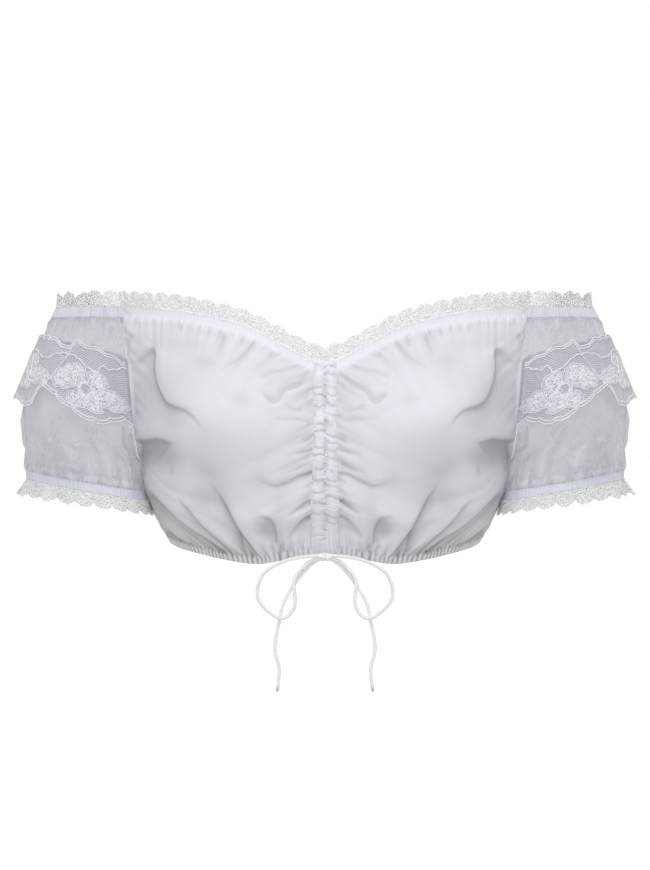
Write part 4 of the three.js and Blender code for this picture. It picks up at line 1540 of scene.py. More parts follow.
@dataclass(frozen=True)
class Bow:
    """The drawstring's cord: its knot, two loops and two free ends, in millimetres."""

    radius: float = 1.5
    tip_length: float = 7.0
    tip_worn: float = 0.75
    tip_round: float = 3.2
    loop_steps: int = 240
    end_steps: int = 150
    loop_route: Route = (
        (4.9, -106.0, -225.4), (14, -106.2, -225.8), (29, -105.9, -228.2), (41, -105.6, -232.6),
        (51.5, -104.8, -239.4), (57, -104.0, -248.6), (58.3, -103.2, -257.2), (57, -102.8, -264.2),
        (52, -102.8, -270.6), (45, -103.2, -276.2), (39.4, -103.6, -279.2), (33.6, -104.0, -278.4),
        (29.2, -104.4, -274.4), (26.2, -104.6, -268.6), (25.8, -104.6, -260.6), (26.8, -104.4, -252.4),
        (26.4, -104.0, -246.4), (23, -103.4, -240.2), (15.4, -103.4, -232.2), (9.4, -103.6, -228.9),
        (4.2, -103.6, -227.4))
    end_route: Route = (
        (1.4, -103.4, -227.8), (6.4, -101.6, -229.3), (12.2, -100.2, -233.4), (17.6, -99.7, -238.7),
        (22.0, -99.6, -243.9), (25.6, -99.6, -248.8),
        (30.6, -99.6, -256.4), (35.2, -99.6, -265.0), (38, -99.6, -274.2), (39.4, -99.6, -282.4),
        (41.6, -99.8, -291.8), (43, -100.0, -301.6), (42.8, -100.2, -309.8), (40.4, -100.4, -317.8),
        (39.4, -100.4, -325.4), (40.2, -100.4, -334.2), (41.3, -100.4, -343.0))
    knot_middle: tuple[float, float, float] = (0.0, -104.2, -226.6)
    knot_radius: float = 2.5
    knot_half: float = 2.3
    knot_thick: float = 1.45
    knot_steps: int = 90
    core_half: float = 4.2
    core_steps: int = 24

    def run(self, shop: Workshop, kind: CordRun, side: Side, knot: bpy.types.Object) -> None:
        """Args:
            shop: what it is made with.
            kind: which of the two.
            side: the side it hangs on.
            knot: not used.
        """
        loop = kind is CordRun.LOOP
        keys, steps = (self.loop_route, self.loop_steps) if loop else (self.end_route, self.end_steps)
        route = smooth_route(np.array(keys), steps) * np.array([side.value, 1.0, 1.0])
        far = np.linspace(0.0, route_length(route), len(route))
        left = far[-1] - far
        radii = np.full(len(route), self.radius)
        worn = np.zeros(len(route))
        if not loop:
            radii = radii * (0.45 + 0.55 * smooth(left / self.tip_round))
            radii = radii * (1.0 - 0.12 * bell(left - self.tip_length, 1.2))
            worn = smooth(1.0 - left / self.tip_length) * self.tip_worn
        name = f"{kind.value}_{side.word}"
        piece = cord_tube(f"{name}_cord", route, radii, 14, shop.finishes.cord, worn)
        shop.keep(piece, "cord", name)

    def knot(self, shop: Workshop) -> bpy.types.Object:
        """Makes the knot, a wrap of the cord round the others.

        Args:
            shop: what it is made with.

        Returns:
            The wrap's piece.
        """
        middle = np.array(self.knot_middle)
        turn = np.linspace(-0.9 * math.pi, 1.9 * math.pi, self.knot_steps)
        share = np.linspace(-1.0, 1.0, self.knot_steps)
        radius = self.knot_radius * (1.0 - 0.25 * share**2)
        wrap = np.stack([self.knot_half * share, -radius * np.cos(turn), radius * np.sin(turn)], axis=1)
        thick = np.full(self.knot_steps, self.knot_thick)
        piece = cord_tube("bow_knot_wrap", middle + wrap, thick, 12, shop.finishes.cord)
        share = np.linspace(-1.0, 1.0, self.core_steps)
        core_route = middle + np.stack([self.core_half * share, 0.0 * share, 0.0 * share], axis=1)
        core_radius = 0.4 + 1.7 * np.sqrt(np.clip(1.0 - share**2, 0.0, 1.0))
        core = cord_tube("bow_knot_core", core_route, core_radius, 12, shop.finishes.cord)
        shop.keep(core, "cord")
        return shop.keep(piece, "cord", "bow_knot")

    def build(self, shop: Workshop) -> None:
        """Makes the whole cord.

        Args:
            shop: what it is made with.
        """
        knot = self.knot(shop)
        for side in Side:
            for kind in CordRun:
                self.run(shop, kind, side, knot)


# The body


@dataclass(frozen=True)
class GatheredPanel:
    """The front or the back, a thin wall with casings, gathers and creases, in millimetres.

    cut is the flat cloth in metres. hem_zone and neck_zone are the rises over which the rows have
    hem_columns and neck_columns instead of columns. The shade painted below the neck casing is never
    under bare_shade, and near the middle of the front's hem a fan gets fan_calm less painted shade.
    """

    panel: Panel
    cut: tuple[float, float]
    casing: float
    hem_casing: float
    thick: float
    hem_zone: float
    neck_zone: float
    hem_columns: int
    neck_columns: int
    columns: int
    middle_rows: int
    creases: tuple[Crease, ...]
    hem_gathers: tuple[Gathers, ...]
    neck_gathers: tuple[Gathers, ...]
    seam_gathers: tuple[Gathers, ...]
    channel_gathers: tuple[Gathers, ...] = ()
    channel_half: float = 9.5
    hem_half: float = 165.0
    neck_half: float = 240.0
    side_half: float = 200.0
    hem_rows: int = 17
    neck_rows: int = 15
    inner_rows: int = 64
    inner_shade: float = 0.2
    bare_shade: float = 0.09
    fan_calm: float = 0.35
    fan_half_width: float = 48.0
    fan_height: float = 40.0
    map_size: ClassVar[tuple[float, float]] = (0.43, 0.2)
    hem_slant: ClassVar[SmoothTable] = SmoothTable(
        (0, 0.2, 0.35, 0.5, 0.65, 1), (-0.1, 0.0, 0.6, 1.1, 1.5, 1.6))
    neck_slant: ClassVar[SmoothTable] = SmoothTable(
        (0, 0.15, 0.3, 0.45, 0.7, 1), (1.9, 1.5, 1.0, 0.5, 0.2, 0.3))

    def folds(self, share: Array, spots: PanelSpots) -> Array:
        """The creases, which both faces of the cloth follow.

        Args:
            share: places along the rows.
            spots: the panel there.

        Returns:
            Heights and painted shade, as two layers.
        """
        points = spots.points()
        x, z = in_picture(points)
        front = self.panel is Panel.FRONT
        seen = np.abs(x) if front else x
        total = sum(crease.shape(seen, z) for crease in self.creases)
        across = np.abs(share)
        calm = smooth((1.0 - across) / 0.025) * smooth((spots.above_hem - self.hem_casing + 1.5) / 2.5)
        calm = calm * smooth((spots.below_top - self.casing) / 8.0)
        if front:
            calm = calm * smooth((np.abs(points[..., 0]) - self.channel_half + 2.0) / 6.0)
        return total * calm

    def ridges(self, share: Array, spots: PanelSpots) -> Array:
        """The gathers along the edges, raised on the outer face only.

        Args:
            share: places along the rows.
            spots: the panel there.

        Returns:
            Heights and painted shade, as two layers.
        """
        along = np.abs(share) if self.panel is Panel.FRONT else share
        hem_line, neck_line = along * self.hem_half, along * self.neck_half
        inside = smooth((1.0 - np.abs(share)) / 0.03)
        total = np.zeros((2, *spots.above_hem.shape))
        slant = self.hem_slant.at(np.abs(share))
        reach = 0.5 + 0.5 * smooth(np.abs(share) / 0.3) if self.panel is Panel.FRONT else 1.0
        for row in self.hem_gathers:
            over = np.maximum(spots.above_hem - self.hem_casing, 0.0)
            off = np.minimum(spots.above_hem, self.hem_casing) + over * reach
            total += row.shape(hem_line - slant * over * row.slant, off)
        lean = self.neck_slant.at(np.abs(share))
        below = np.maximum(spots.below_top - self.casing, 0.0)
        for row in self.neck_gathers:
            total += row.shape(neck_line - lean * below * row.slant, spots.below_top)
        side = (1.0 - np.abs(share)) * self.side_half
        for row in self.seam_gathers:
            total += row.shape(spots.above_hem + 0.5 * side, side) * smooth(spots.above_hem / 30.0)
        x = spots.points()[..., 0]
        off = np.maximum(np.abs(x) - self.channel_half + 1.0, 0.0)
        for number, row in enumerate(self.channel_gathers):
            line = spots.above_hem + 0.35 * off + np.where(x > 0, 37.0 + 11.0 * number, 0.0)
            held = smooth((spots.above_hem - 15.0) / 14.0) * smooth((spots.below_top - 8.0) / 10.0)
            total += row.shape(line, off) * held
        if self.panel is Panel.FRONT:
            inside = inside * (0.25 + 0.75 * smooth((np.abs(x) - self.channel_half + 1.5) / 3.0))
        return total * inside

    def rows(self) -> list[tuple[float, int]]:
        """Each outer row's rise and its number of columns."""
        hem = [(rise, self.hem_columns) for rise in np.linspace(0.0, self.hem_zone, self.hem_rows)]
        middle = np.linspace(self.hem_zone, 1.0 - self.neck_zone, self.middle_rows + 2)[1:-1]
        top = np.linspace(1.0 - self.neck_zone, 1.0, self.neck_rows)
        neck = [(rise, self.neck_columns) for rise in top]
        return [*hem, *((rise, self.columns) for rise in middle), *neck]

    def point_row(self, rise: float, count: int, outer: bool) -> tuple[Array, Array, Array]:
        """One row of the outer or the inner face.

        Args:
            rise: the row's rise.
            count: its number of columns.
            outer: whether it is the outer face's.

        Returns:
            Its shares, points and painted shade.
        """
        share = np.linspace(-1.0, 1.0, count + 1)
        spots = FORM.panel(self.panel, share, rise)
        height, painted_light = self.folds(share, spots)
        if not outer:
            under = self.lowest(share, rise, height) - self.thick
            return share, spots.points(under), self.inner_shade * painted_light
        raised, between = self.ridges(share, spots)
        # Painted shade: that of the creases and gathers, at least bare_shade below the neck casing, less in a
        # fan at the middle of the front's hem.
        bare = self.bare_shade * smooth((spots.below_top - self.casing) / 3.0)
        fan = 0.0
        if self.panel is Panel.FRONT:
            fan = smooth((self.fan_height - spots.above_hem) / 30.0)
            fan = bell(spots.points()[..., 0], self.fan_half_width) * fan
        shaded = (painted_light + between) * (1.0 - self.fan_calm * fan) + bare * (1.0 - fan)
        return share, spots.points(height + raised), np.clip(shaded, 0.0, 1.0)

    def lowest(self, share: Array, rise: float, height: Array) -> Array:
        """The lowest of the creases close by, so that the inner face stays under a sharp one.

        Args:
            share: places along a row.
            rise: the row's rise.
            height: the creases' heights there.

        Returns:
            The heights, none above those close by.
        """
        for aside, up in ((0.0, 0.011), (0.0, -0.011), (0.011, 0.0), (-0.011, 0.0)):
            near = np.clip(share + aside, -1.0, 1.0)
            level = min(max(rise + up, 0.0), 1.0)
            spots = FORM.panel(self.panel, near, level)
            height = np.minimum(height, self.folds(near, spots)[0])
        return height

    def build(self, shop: Workshop) -> None:
        """Makes the panel and its stitches.

        Args:
            shop: what it is made with.
        """
        wall = WallMesh()
        name = self.panel.value
        faces: list[list[Row]] = []
        plans = (self.rows(), [(rise, self.columns) for rise in np.linspace(0.0, 1.0, self.inner_rows)])
        for outer, plan in zip((True, False), plans):
            face = []
            for rise, count in plan:
                share, points, painted_light = self.point_row(float(rise), count, outer)
                places = flat_places(share, float(rise), *self.map_size)
                face.append(wall.row(points, share, places, painted_light))
            faces.append(face)
        wall.close(faces[0], faces[1])
        material = shop.finishes.cloth if self.panel is Panel.FRONT else shop.finishes.lining
        piece = wall.build(f"{name}_cloth", material)
        shop.keep(piece, "body_cloth", name)
        seams = self.seams(shop)

    def seams(self, shop: Workshop) -> bpy.types.Object:
        """Makes the stitches along the two casings.

        Args:
            shop: what they are made with.

        Returns:
            The stitches' piece.
        """
        share = np.linspace(-0.995, 0.995, 500)
        lines = []
        for height, top in ((self.hem_casing, False), (1.2, False), (self.casing, True), (1.2, True)):
            probe = FORM.panel(self.panel, share, 1.0 if top else 0.0)
            flat = FORM.panel(self.panel, share, 0.0 if top else 1.0)
            full = np.abs(flat.points()[:, 2] - probe.points()[:, 2])
            rise = (full - height) / full if top else height / full
            spots = FORM.panel(self.panel, share, rise)
            height = self.folds(share, spots)[0] + self.ridges(share, spots)[0]
            lines.append(spots.points(height + 0.1))
        return shop.sew(f"{self.panel.value}_casing_stitches", lines, "body_cloth")


FRONT = GatheredPanel(
    panel=Panel.FRONT, cut=(0.55, 0.24), casing=9.0, hem_casing=6.2, thick=0.7, hem_zone=0.115,
    neck_zone=0.12, hem_columns=792, neck_columns=528, columns=264, middle_rows=124,
    creases=FRONT_CREASES,
    hem_gathers=(
        Gathers(3.6, 1.6, 0.0, 6.0, 2.2, 11, 0.0, 0.75, 1.7),
        Gathers(5.4, 1.5, 4.5, 8.5, 5.5, 12, 0.9, 0.9, 0.8),
        Gathers(10.0, 1.6, 5.5, 11.0, 12.0, 13, 1.0, 1.0, 0.4),
        Gathers(23.0, 1.6, 9.0, 18.0, 34.0, 14, 1.0)),
    neck_gathers=(
        Gathers(3.3, 0.2, 0.0, 8.0, 3.0, 21, 0.2, 0.8, 0.06),
        Gathers(5.6, 1.0, 7.5, 11.0, 7.0, 22, 0.8, 0.9, 0.24),
        Gathers(12.0, 1.3, 8.0, 12.0, 16.0, 23, 0.9, 0.9, 0.26),
        Gathers(27.0, 1.3, 10.0, 16.0, 36.0, 24, 0.9, 1.0, 0.14)),
    seam_gathers=(Gathers(7.0, 0.5, 1.0, 3.0, 9.0, 31), Gathers(16.0, 0.8, 3.0, 5.0, 20.0, 32)),
    channel_gathers=(
        Gathers(5.2, 0.8, 0.0, 2.0, 5.0, 41),
        Gathers(10.8, 1.6, 1.0, 4.0, 11.0, 42, 0.0, 1.0, 0.42),
        Gathers(23.0, 1.5, 4.0, 8.0, 28.0, 43, 0.0, 1.0, 0.25)))

BACK = GatheredPanel(
    panel=Panel.BACK, cut=(0.52, 0.21), casing=9.0, hem_casing=6.2, thick=0.7, hem_zone=0.12,
    neck_zone=0.14, hem_columns=600, neck_columns=400, columns=200, middle_rows=76,
    creases=BACK_CREASES,
    hem_gathers=(
        Gathers(3.6, 1.4, 0.0, 6.0, 2.2, 51, 0.0, 0.75, 1.25),
        Gathers(5.6, 1.4, 4.5, 8.5, 7.0, 52, 0.5, 0.9, 0.7),
        Gathers(11.0, 1.7, 5.5, 11.0, 18.0, 53, 0.5, 1.0, 0.4),
        Gathers(25.0, 1.9, 9.0, 18.0, 44.0, 54, 0.5)),
    neck_gathers=(
        Gathers(3.3, 0.3, 0.0, 8.0, 3.0, 61, 0.3, 0.8, 0.1),
        Gathers(5.8, 1.1, 7.5, 11.0, 9.0, 62, 0.3, 0.9),
        Gathers(12.0, 1.4, 8.0, 12.0, 20.0, 63, 0.3),
        Gathers(27.0, 1.6, 10.0, 16.0, 44.0, 64, 0.3)),
    seam_gathers=(Gathers(7.0, 0.5, 1.0, 3.0, 9.0, 71), Gathers(16.0, 0.8, 3.0, 5.0, 20.0, 72)))


@dataclass(frozen=True)
class DrawstringChannel:
    """The strip of two ruched tunnels down the centre front, in millimetres, with shade painted between its
    puckers and in dots along its middle stitches.
    """

    half: float = 9.8
    low_rise: float = 0.012
    high_rise: float = 0.985
    columns: int = 60
    rows: int = 330
    lift: float = 0.8
    tunnel: float = 1.9
    pucker: float = 10.4
    fine_pucker: float = 4.3
    hem_pucker: float = 3.4
    stitch_pitch: float = 9.3
    thick: float = 0.8
    panel_half: float = 187.0
    fine_height: float = 0.95
    hem_height: float = 0.7
    pucker_shade: float = 0.64
    fine_shade: float = 0.54
    hem_shade: float = 0.35
    stitch_spot_shade: float = 0.9

    def surface(self, share: Array, rise: Array) -> tuple[Array, Array]:
        """The strip with its puckers.

        Args:
            share: from -1 at its right edge to 1 at its left, as the wearer has them.
            rise: the front's rise.

        Returns:
            Its points, and the shade painted there from 0 to 1.
        """

        def uneven(shift: float, scale: float, seed: int) -> Array:
            """Noise up the strip, which a shift makes different in the left tunnel."""
            return wander(above + np.where(share > 0, shift, 0.0), scale, seed)

        above = FORM.panel(Panel.FRONT, share * self.half / self.panel_half, rise).above_hem
        inner = np.abs(2.0 * np.abs(share) - 1.0)
        arch = 1.0 - inner**2
        line = above + np.where(share > 0, 5.2, 0.0) + 3.0 * wander(above, 24.0, 5) - 1.2 * inner
        line = line + 2.6 * inner * uneven(30.0, 17.0, 4) + 1.8 * share
        bulge = ridged(line / self.pucker + 0.42 * uneven(80.0, 14.0, 6), 0.6)
        depth = 0.6 + 0.4 * uneven(40.0, 12.0, 7)
        swing = uneven(55.0, 9.0, 8)
        bent = above + 3.4 * inner * (0.3 + swing) + 2.2 * swing
        fine = ridged(bent / self.fine_pucker, 0.8) * (0.6 + 0.4 * wander(above - 9.0 * share, 11.0, 9))
        across = share * 9.0
        tight = share * self.half / self.hem_pucker + 0.3 * wander(across, 4.0, 10) + 0.05 * above * share
        hem = ridged(tight, 0.8) * (0.7 + 0.3 * wander(across, 5.0, 12))
        ruched = smooth((above - 9.0 - 5.0 * wander(across, 6.0, 13)) / 12.0)
        high = arch * self.tunnel * (0.3 + 0.7 * bulge * depth)
        high = high + self.fine_height * fine * (1.0 - 0.6 * arch)
        height = mix(self.hem_height * hem + 0.2 * self.tunnel * arch, high, ruched)
        stitch = (above / self.stitch_pitch + 0.25 * wander(above, 20.0, 14)) % 1.0 - 0.5
        # Dots of painted shade along the middle row of stitches.
        stitch_shade_spot = bell(share - 0.02 * swing, 0.08) * bell(stitch * self.stitch_pitch, 0.9 + 0.3 * swing)
        # Painted shade between the puckers, the fine puckers and, near the hem, the gathers.
        dark = self.pucker_shade * (1.0 - bulge) ** 1.6 * (0.4 + 0.6 * arch)
        dark = dark + self.fine_shade * (1.0 - fine) ** 1.4 * inner + self.stitch_spot_shade * stitch_shade_spot
        painted_light = mix(self.hem_shade * (1.0 - hem) ** 1.3, dark, ruched)
        wide = self.half * (1.0 - 0.07 * (1.0 - bulge) * ruched)
        spots = FORM.panel(Panel.FRONT, share * wide / self.panel_half, rise)
        return spots.points(self.lift + height), np.clip(painted_light, 0.0, 1.0)

    def build(self, shop: Workshop) -> None:
        """Makes the strip and its three rows of stitches.

        Args:
            shop: what it is made with.
        """
        share = np.linspace(-1.0, 1.0, self.columns + 1)
        rise = np.linspace(self.low_rise, self.high_rise, self.rows + 1)
        outer, painted_light = self.surface(share[None], rise[:, None])
        spots = FORM.panel(Panel.FRONT, share[None] * self.half / self.panel_half, rise[:, None])
        inner = spots.points(self.lift - self.thick)
        piece = wall_from_grids("drawstring_tunnels", outer, inner, shop.finishes.tunnel,
                                (2 * self.half * MM, 0.24), values=painted_light)
        shop.keep(piece, "body_cloth", "drawstring_channel")
        lines = []
        for place in (-0.86, 0.0, 0.86):
            line, _ = self.surface(np.full_like(rise, place), rise)
            lines.append(line + np.array([0.0, -0.12, 0.0]))
        seams = shop.sew("drawstring_stitches", lines, "body_cloth", 2.4, 1.8, 0.24, 3)


# The sleeves


# Soft lines of painted highlight on the organza, a little raised too, in the plane of the camera's picture,
# on the left arm.
SLEEVE_CREASES: tuple[Crease, ...] = (
    Crease(((224.3, -125.7), (222.8, -135.4), (225, -145)), 0.8, 0, 3, 0, 0.3, 0.4, 0.5),
    Crease(((246.3, -118.8), (248.4, -132.6), (246.3, -142), (240.8, -150)), 1.0, 0, 3, 0, 0.2, 0.4, 0.55),
    Crease(((242, -138), (236.7, -153)), 0.8, 0, 2.6, 0, 0.3, 0.3, 0.6),
    Crease(((206.3, -118.8), (210.6, -129.6)), 0.8, 0, 3, 0, 0.3, 0.4, 0.4),
    Crease(((217, -107.8), (210, -117.5), (204, -124)), 0.8, 0, 3.4, 0, 0.3, 0.4, 0.35),
    Crease(((231, -106), (242, -114.7), (247, -129.6)), 0.9, 0, 3.4, 0, 0.3, 0.4, 0.5),
    Crease(((209, -16), (209, -30)), 0.8, 0, 3, 0, 0.1, 0.5, 0.5),
    Crease(((222, -16), (228.6, -18), (235, -28)), 0.8, 0, 3.4, 0, 0.3, 0.5, 0.4),
    Crease(((192, -17), (196, -32)), 0.7, 0, 3, 0, 0.1, 0.5, 0.4),
    Crease(((182, -112), (184.5, -124.2), (181.8, -132.3), (169, -139.5)), 1.2, 1.0, 3, 0.4, 0.1, 0.1, 0.7),
    Crease(((176, -118), (172, -128)), 0.5, 0, 7, 0, 0.4, 0.4, 0.5),
)


@dataclass(frozen=True)
class SheerSleeve:
    """One organza sleeve with its upper and lower casing, in millimetres.

    head_band and cuff_band are the casings' heights as rises, around and tall the sleeve's size. The
    gathers run from both casings, and cuff_share and head_share are how much of their height and of
    their painted highlight shows there. waves holds the pitch, height and swing of the broad crinkles.
    Just above the cuff, patches of painted highlight go on where the organza bunches and is made more opaque.
    """

    side: Side
    head_band: float = 0.055
    cuff_band: float = 0.046
    columns: int = 200
    rows: int = 74
    around: float = 345.0
    tall: float = 160.0
    wave_share: float = 0.8
    patch_highlight: float = 0.85
    band_thick: float = 1.1
    cuff_share: ClassVar[Array] = np.array([1.0, 3.0])[:, None, None]
    head_share: ClassVar[Array] = np.array([0.75, 1.0])[:, None, None]
    waves: ClassVar[Route] = ((46.0, 2.4, 16.0), (27.0, 1.5, 10.0), (14.0, 0.7, 6.0))
    gathers: ClassVar[tuple[Gathers, ...]] = (
        Gathers(4.6, 1.4, 0.0, 2.0, 3.6, 111, shade=0.5), Gathers(9.0, 1.7, 1.5, 3.0, 9.0, 112),
        Gathers(19.0, 1.6, 3.0, 5.0, 20.0, 113))

    def crinkles(self, share: Array, rise: Array) -> Array:
        """The organza's soft crinkles and gathers.

        Args:
            share: places round the sleeve.
            rise: the sleeve's rise.

        Returns:
            Heights and how much highlight is painted on the cloth, as two layers.
        """
        line = share * self.around / 2
        height = rise * self.tall
        body = np.zeros(np.broadcast(share, rise).shape)
        for number, (pitch, high, swing) in enumerate(self.waves):
            bend = swing * wander(height, 52.0, 81 + number) + 0.4 * swing * wander(line, 60.0, 91 + number)
            turn = (line + bend) / pitch
            strength = 0.55 + 0.45 * wander(line + 0.7 * height, 70.0, 101 + number)
            body = body + high * np.sin(2 * math.pi * turn) * strength
        middle = smooth((rise - self.cuff_band) / 0.2) * smooth((1 - self.head_band - rise) / 0.2)
        low = np.maximum(rise - self.cuff_band, 0.0) * self.tall
        high = np.maximum(1.0 - self.head_band - rise, 0.0) * self.tall
        total = np.stack([body * middle * self.wave_share, 0.0 * body])
        for row in self.gathers:
            total = total + row.shape(line, low) * self.cuff_share
            total = total + row.shape(line + 40.0, high) * self.head_share
        points = FORM.sleeve(share, rise)
        x, z = in_picture(points)
        front = smooth(-points[..., 1] / 12.0)
        for crease in SLEEVE_CREASES:
            total = total + crease.shape(x, z) * front
        # Patches of painted highlight just above the cuff, where the gathered organza bunches.
        patches = smooth(0.6 + 1.4 * wander(line + 0.6 * low, 10.0, 115)) * smooth((9.0 - low) / 5.0)
        total[1] = np.clip(total[1] + self.patch_highlight * patches, 0.0, 1.0)
        return total * smooth((1.0 - np.abs(share)) / 0.03)

    def grid(self, low: float, high: float, rows: int, columns: int, lift: Surface) -> Array:
        """A grid of the sleeve, lifted outwards.

        Args:
            low: its lowest rise.
            high: its highest rise.
            rows: its steps up.
            columns: its steps round.
            lift: the height at each share and rise.

        Returns:
            The points, on this sleeve's side.
        """
        share = np.linspace(-1.0, 1.0, columns + 1)[None]
        rise = np.linspace(low, high, rows + 1)[:, None]
        points = FORM.sleeve(share, rise)
        _, _, outward = grid_directions(points)
        joined = np.linalg.norm(points[:, 0] - points[:, -1], axis=1) < 0.02
        middle = unit(outward[:, 0] + outward[:, -1])
        outward[joined, 0] = middle[joined]
        outward[joined, -1] = middle[joined]
        points[joined, -1] = points[joined, 0]
        height = np.broadcast_to(lift(share, rise), outward.shape[:2])
        return mirrored(points + outward * height[..., None], self.side)

    def wall(self, name: str, span: tuple[float, float], size: tuple[int, int], relief: Surface,
             thick: float, material: bpy.types.Material, flat: tuple[float, float]) -> bpy.types.Object:
        """A closed wall of the sleeve.

        Args:
            name: the object's name.
            span: its lowest and highest rise.
            size: its steps up and round.
            relief: heights and values of "dense" at each share and rise, as two layers.
            thick: how thick it is.
            material: its finish.
            flat: the flat cloth's width and height in metres.

        Returns:
            The object.
        """
        outer = self.grid(*span, *size, lambda share, rise: relief(share, rise)[0])
        inner = self.grid(*span, *size, lambda share, rise: relief(share, rise)[0] - thick)
        share = np.linspace(-1.0, 1.0, size[1] + 1)[None]
        rise = np.linspace(*span, size[0] + 1)[:, None]
        values = np.broadcast_to(relief(share, rise)[1], outer.shape[:2])
        return wall_from_grids(name, outer, inner, material, flat, values=turned(values, self.side))

    def band(self, shop: Workshop, name: str, span: tuple[float, float], columns: int, seed: int,
             shade: float) -> bpy.types.Object:
        """A casing with its fine gathers.

        Args:
            shop: what it is made with.
            name: the object's name.
            span: its lowest and highest rise.
            columns: its steps round.
            seed: which unevenness.
            shade: how much shade is painted between the gathers, which also makes the casing more opaque
                there.

        Returns:
            The casing.
        """
        row = Gathers(3.4, 1.0, 0.0, 400.0, 9.0, seed, 0.0, 0.8, shade)

        def relief(share: Array, rise: Array) -> Array:
            """The gathers, the same at each rise."""
            return row.shape(share * self.around / 2 + 0.0 * rise, 0.0 * share + 0.0 * rise)

        return self.wall(name, span, (6, columns), relief, self.band_thick, shop.finishes.band,
                         (0.36, 0.01))

    def build(self, shop: Workshop) -> None:
        """Makes the sleeve and its casings.

        Args:
            shop: what it is made with.
        """
        word = self.side.word
        low, high = self.cuff_band + 0.002, 1.0 - self.head_band - 0.002
        sleeve = self.wall(f"organza_sleeve_{word}", (low, high), (self.rows, self.columns), self.crinkles,
                           0.3, shop.finishes.organza, (0.36, 0.17))
        shop.keep(sleeve, "organza", f"sleeve_{word}")
        # The head casing gets more painted shade than the cuff casing.
        head = self.band(shop, f"head_band_{word}", (1.0 - self.head_band, 1.0), 460, 121, 0.9)
        shop.keep(head, "casing", f"sleeve_head_casing_{word}")
        cuff = self.band(shop, f"cuff_band_{word}", (0.0, self.cuff_band), 500, 122, 0.1)
        shop.keep(cuff, "casing", f"cuff_casing_{word}")


@dataclass(frozen=True)
class Petal:
    """One lobe of a lace flower with a scalloped edge, in millimetres."""

    x: float
    y: float
    long: float
    wide: float
    tilt: float
    waves: int = 8
    row_pitch: float = 3.3
    row_depth: float = 0.22

    def edge(self, angle: Array) -> Array:
        """How far out the scalloped edge is at each angle, about 1."""
        return 1.0 + 0.06 * np.cos(self.waves * angle)

    def density(self, x: Array, y: Array) -> Array:
        """How close the lobe's thread work is.

        Args:
            x: places along the flounce.
            y: places up it.

        Returns:
            0 outside the lobe, and in it near 1 with rows that are a little thinner.
        """
        c, s = math.cos(self.tilt), math.sin(self.tilt)
        along = ((x - self.x) * c + (y - self.y) * s) / self.long
        off = ((y - self.y) * c - (x - self.x) * s) / self.wide
        inside = (self.edge(np.arctan2(off, along)) - np.hypot(along, off)) * min(self.long, self.wide)
        rows = 0.5 + 0.5 * np.cos(2.0 * math.pi * (off * self.wide + 1.4 * along**2) / self.row_pitch)
        return smooth(inside / 1.2) * (1.0 - self.row_depth * rows)

    def outline(self) -> tuple[Array, Array]:
        """The x and y of the lobe's edge."""
        angle = np.linspace(0.0, 2.0 * math.pi, 64)
        edge = self.edge(angle)
        c, s = math.cos(self.tilt), math.sin(self.tilt)
        along, off = self.long * edge * np.cos(angle), self.wide * edge * np.sin(angle)
        return self.x + c * along - s * off, self.y + s * along + c * off


@dataclass(frozen=True)
class Flower:
    """A lace flower: lobes round an open middle."""

    x: float
    y: float
    size: float
    turn: float
    petals: ClassVar[tuple[Petal, ...]] = (
        Petal(-15.0, 7.5, 16.5, 9.0, 0.5, 9), Petal(-7.5, -9.5, 9.0, 6.5, 0.2, 6),
        Petal(9.5, 9.5, 8.5, 6.0, -0.4, 6), Petal(18.0, -5.0, 16.5, 8.5, -0.15, 9),
        Petal(4.0, -12.5, 8.0, 4.5, -0.5, 6))

    def placed(self) -> list[Petal]:
        """The lobes where they lie on the flounce."""
        c, s = math.cos(self.turn) * self.size, math.sin(self.turn) * self.size
        return [Petal(self.x + c * p.x - s * p.y, self.y + s * p.x + c * p.y, p.long * self.size,
                      p.wide * self.size, p.tilt + self.turn, p.waves) for p in self.petals]

    def density(self, x: Array, y: Array) -> Array:
        """How close the flower's thread work is.

        Args:
            x: places along the flounce.
            y: places up it.

        Returns:
            Near 1 in the lobes and the ring round the middle, 0 elsewhere.
        """
        total = np.zeros(np.broadcast(x, y).shape)
        for petal in self.placed():
            total = np.maximum(total, petal.density(x, y))
        radius = np.hypot(x - self.x, y - self.y) / self.size
        ring = smooth((6.8 - radius) / 1.0)
        return np.maximum(total, ring) * smooth((radius - 3.6) / 1.2)

    def outlines(self) -> list[tuple[Array, Array]]:
        """The edges of the lobes and of the open middle."""
        angle = np.linspace(0.0, 2.0 * math.pi, 32)
        rings = [(self.x + r * self.size * np.cos(angle), self.y + r * self.size * np.sin(angle))
                 for r in (4.2, 6.6)]
        return rings + [petal.outline() for petal in self.placed()]


FLOWERS: tuple[Flower, ...] = (Flower(89.4, 26.0, 1.0, 0.0), Flower(26.0, 31.0, 0.9, 0.15),
                               Flower(-35.0, 35.0, 0.85, 0.1), Flower(-93.0, 24.0, 0.9, 0.0))


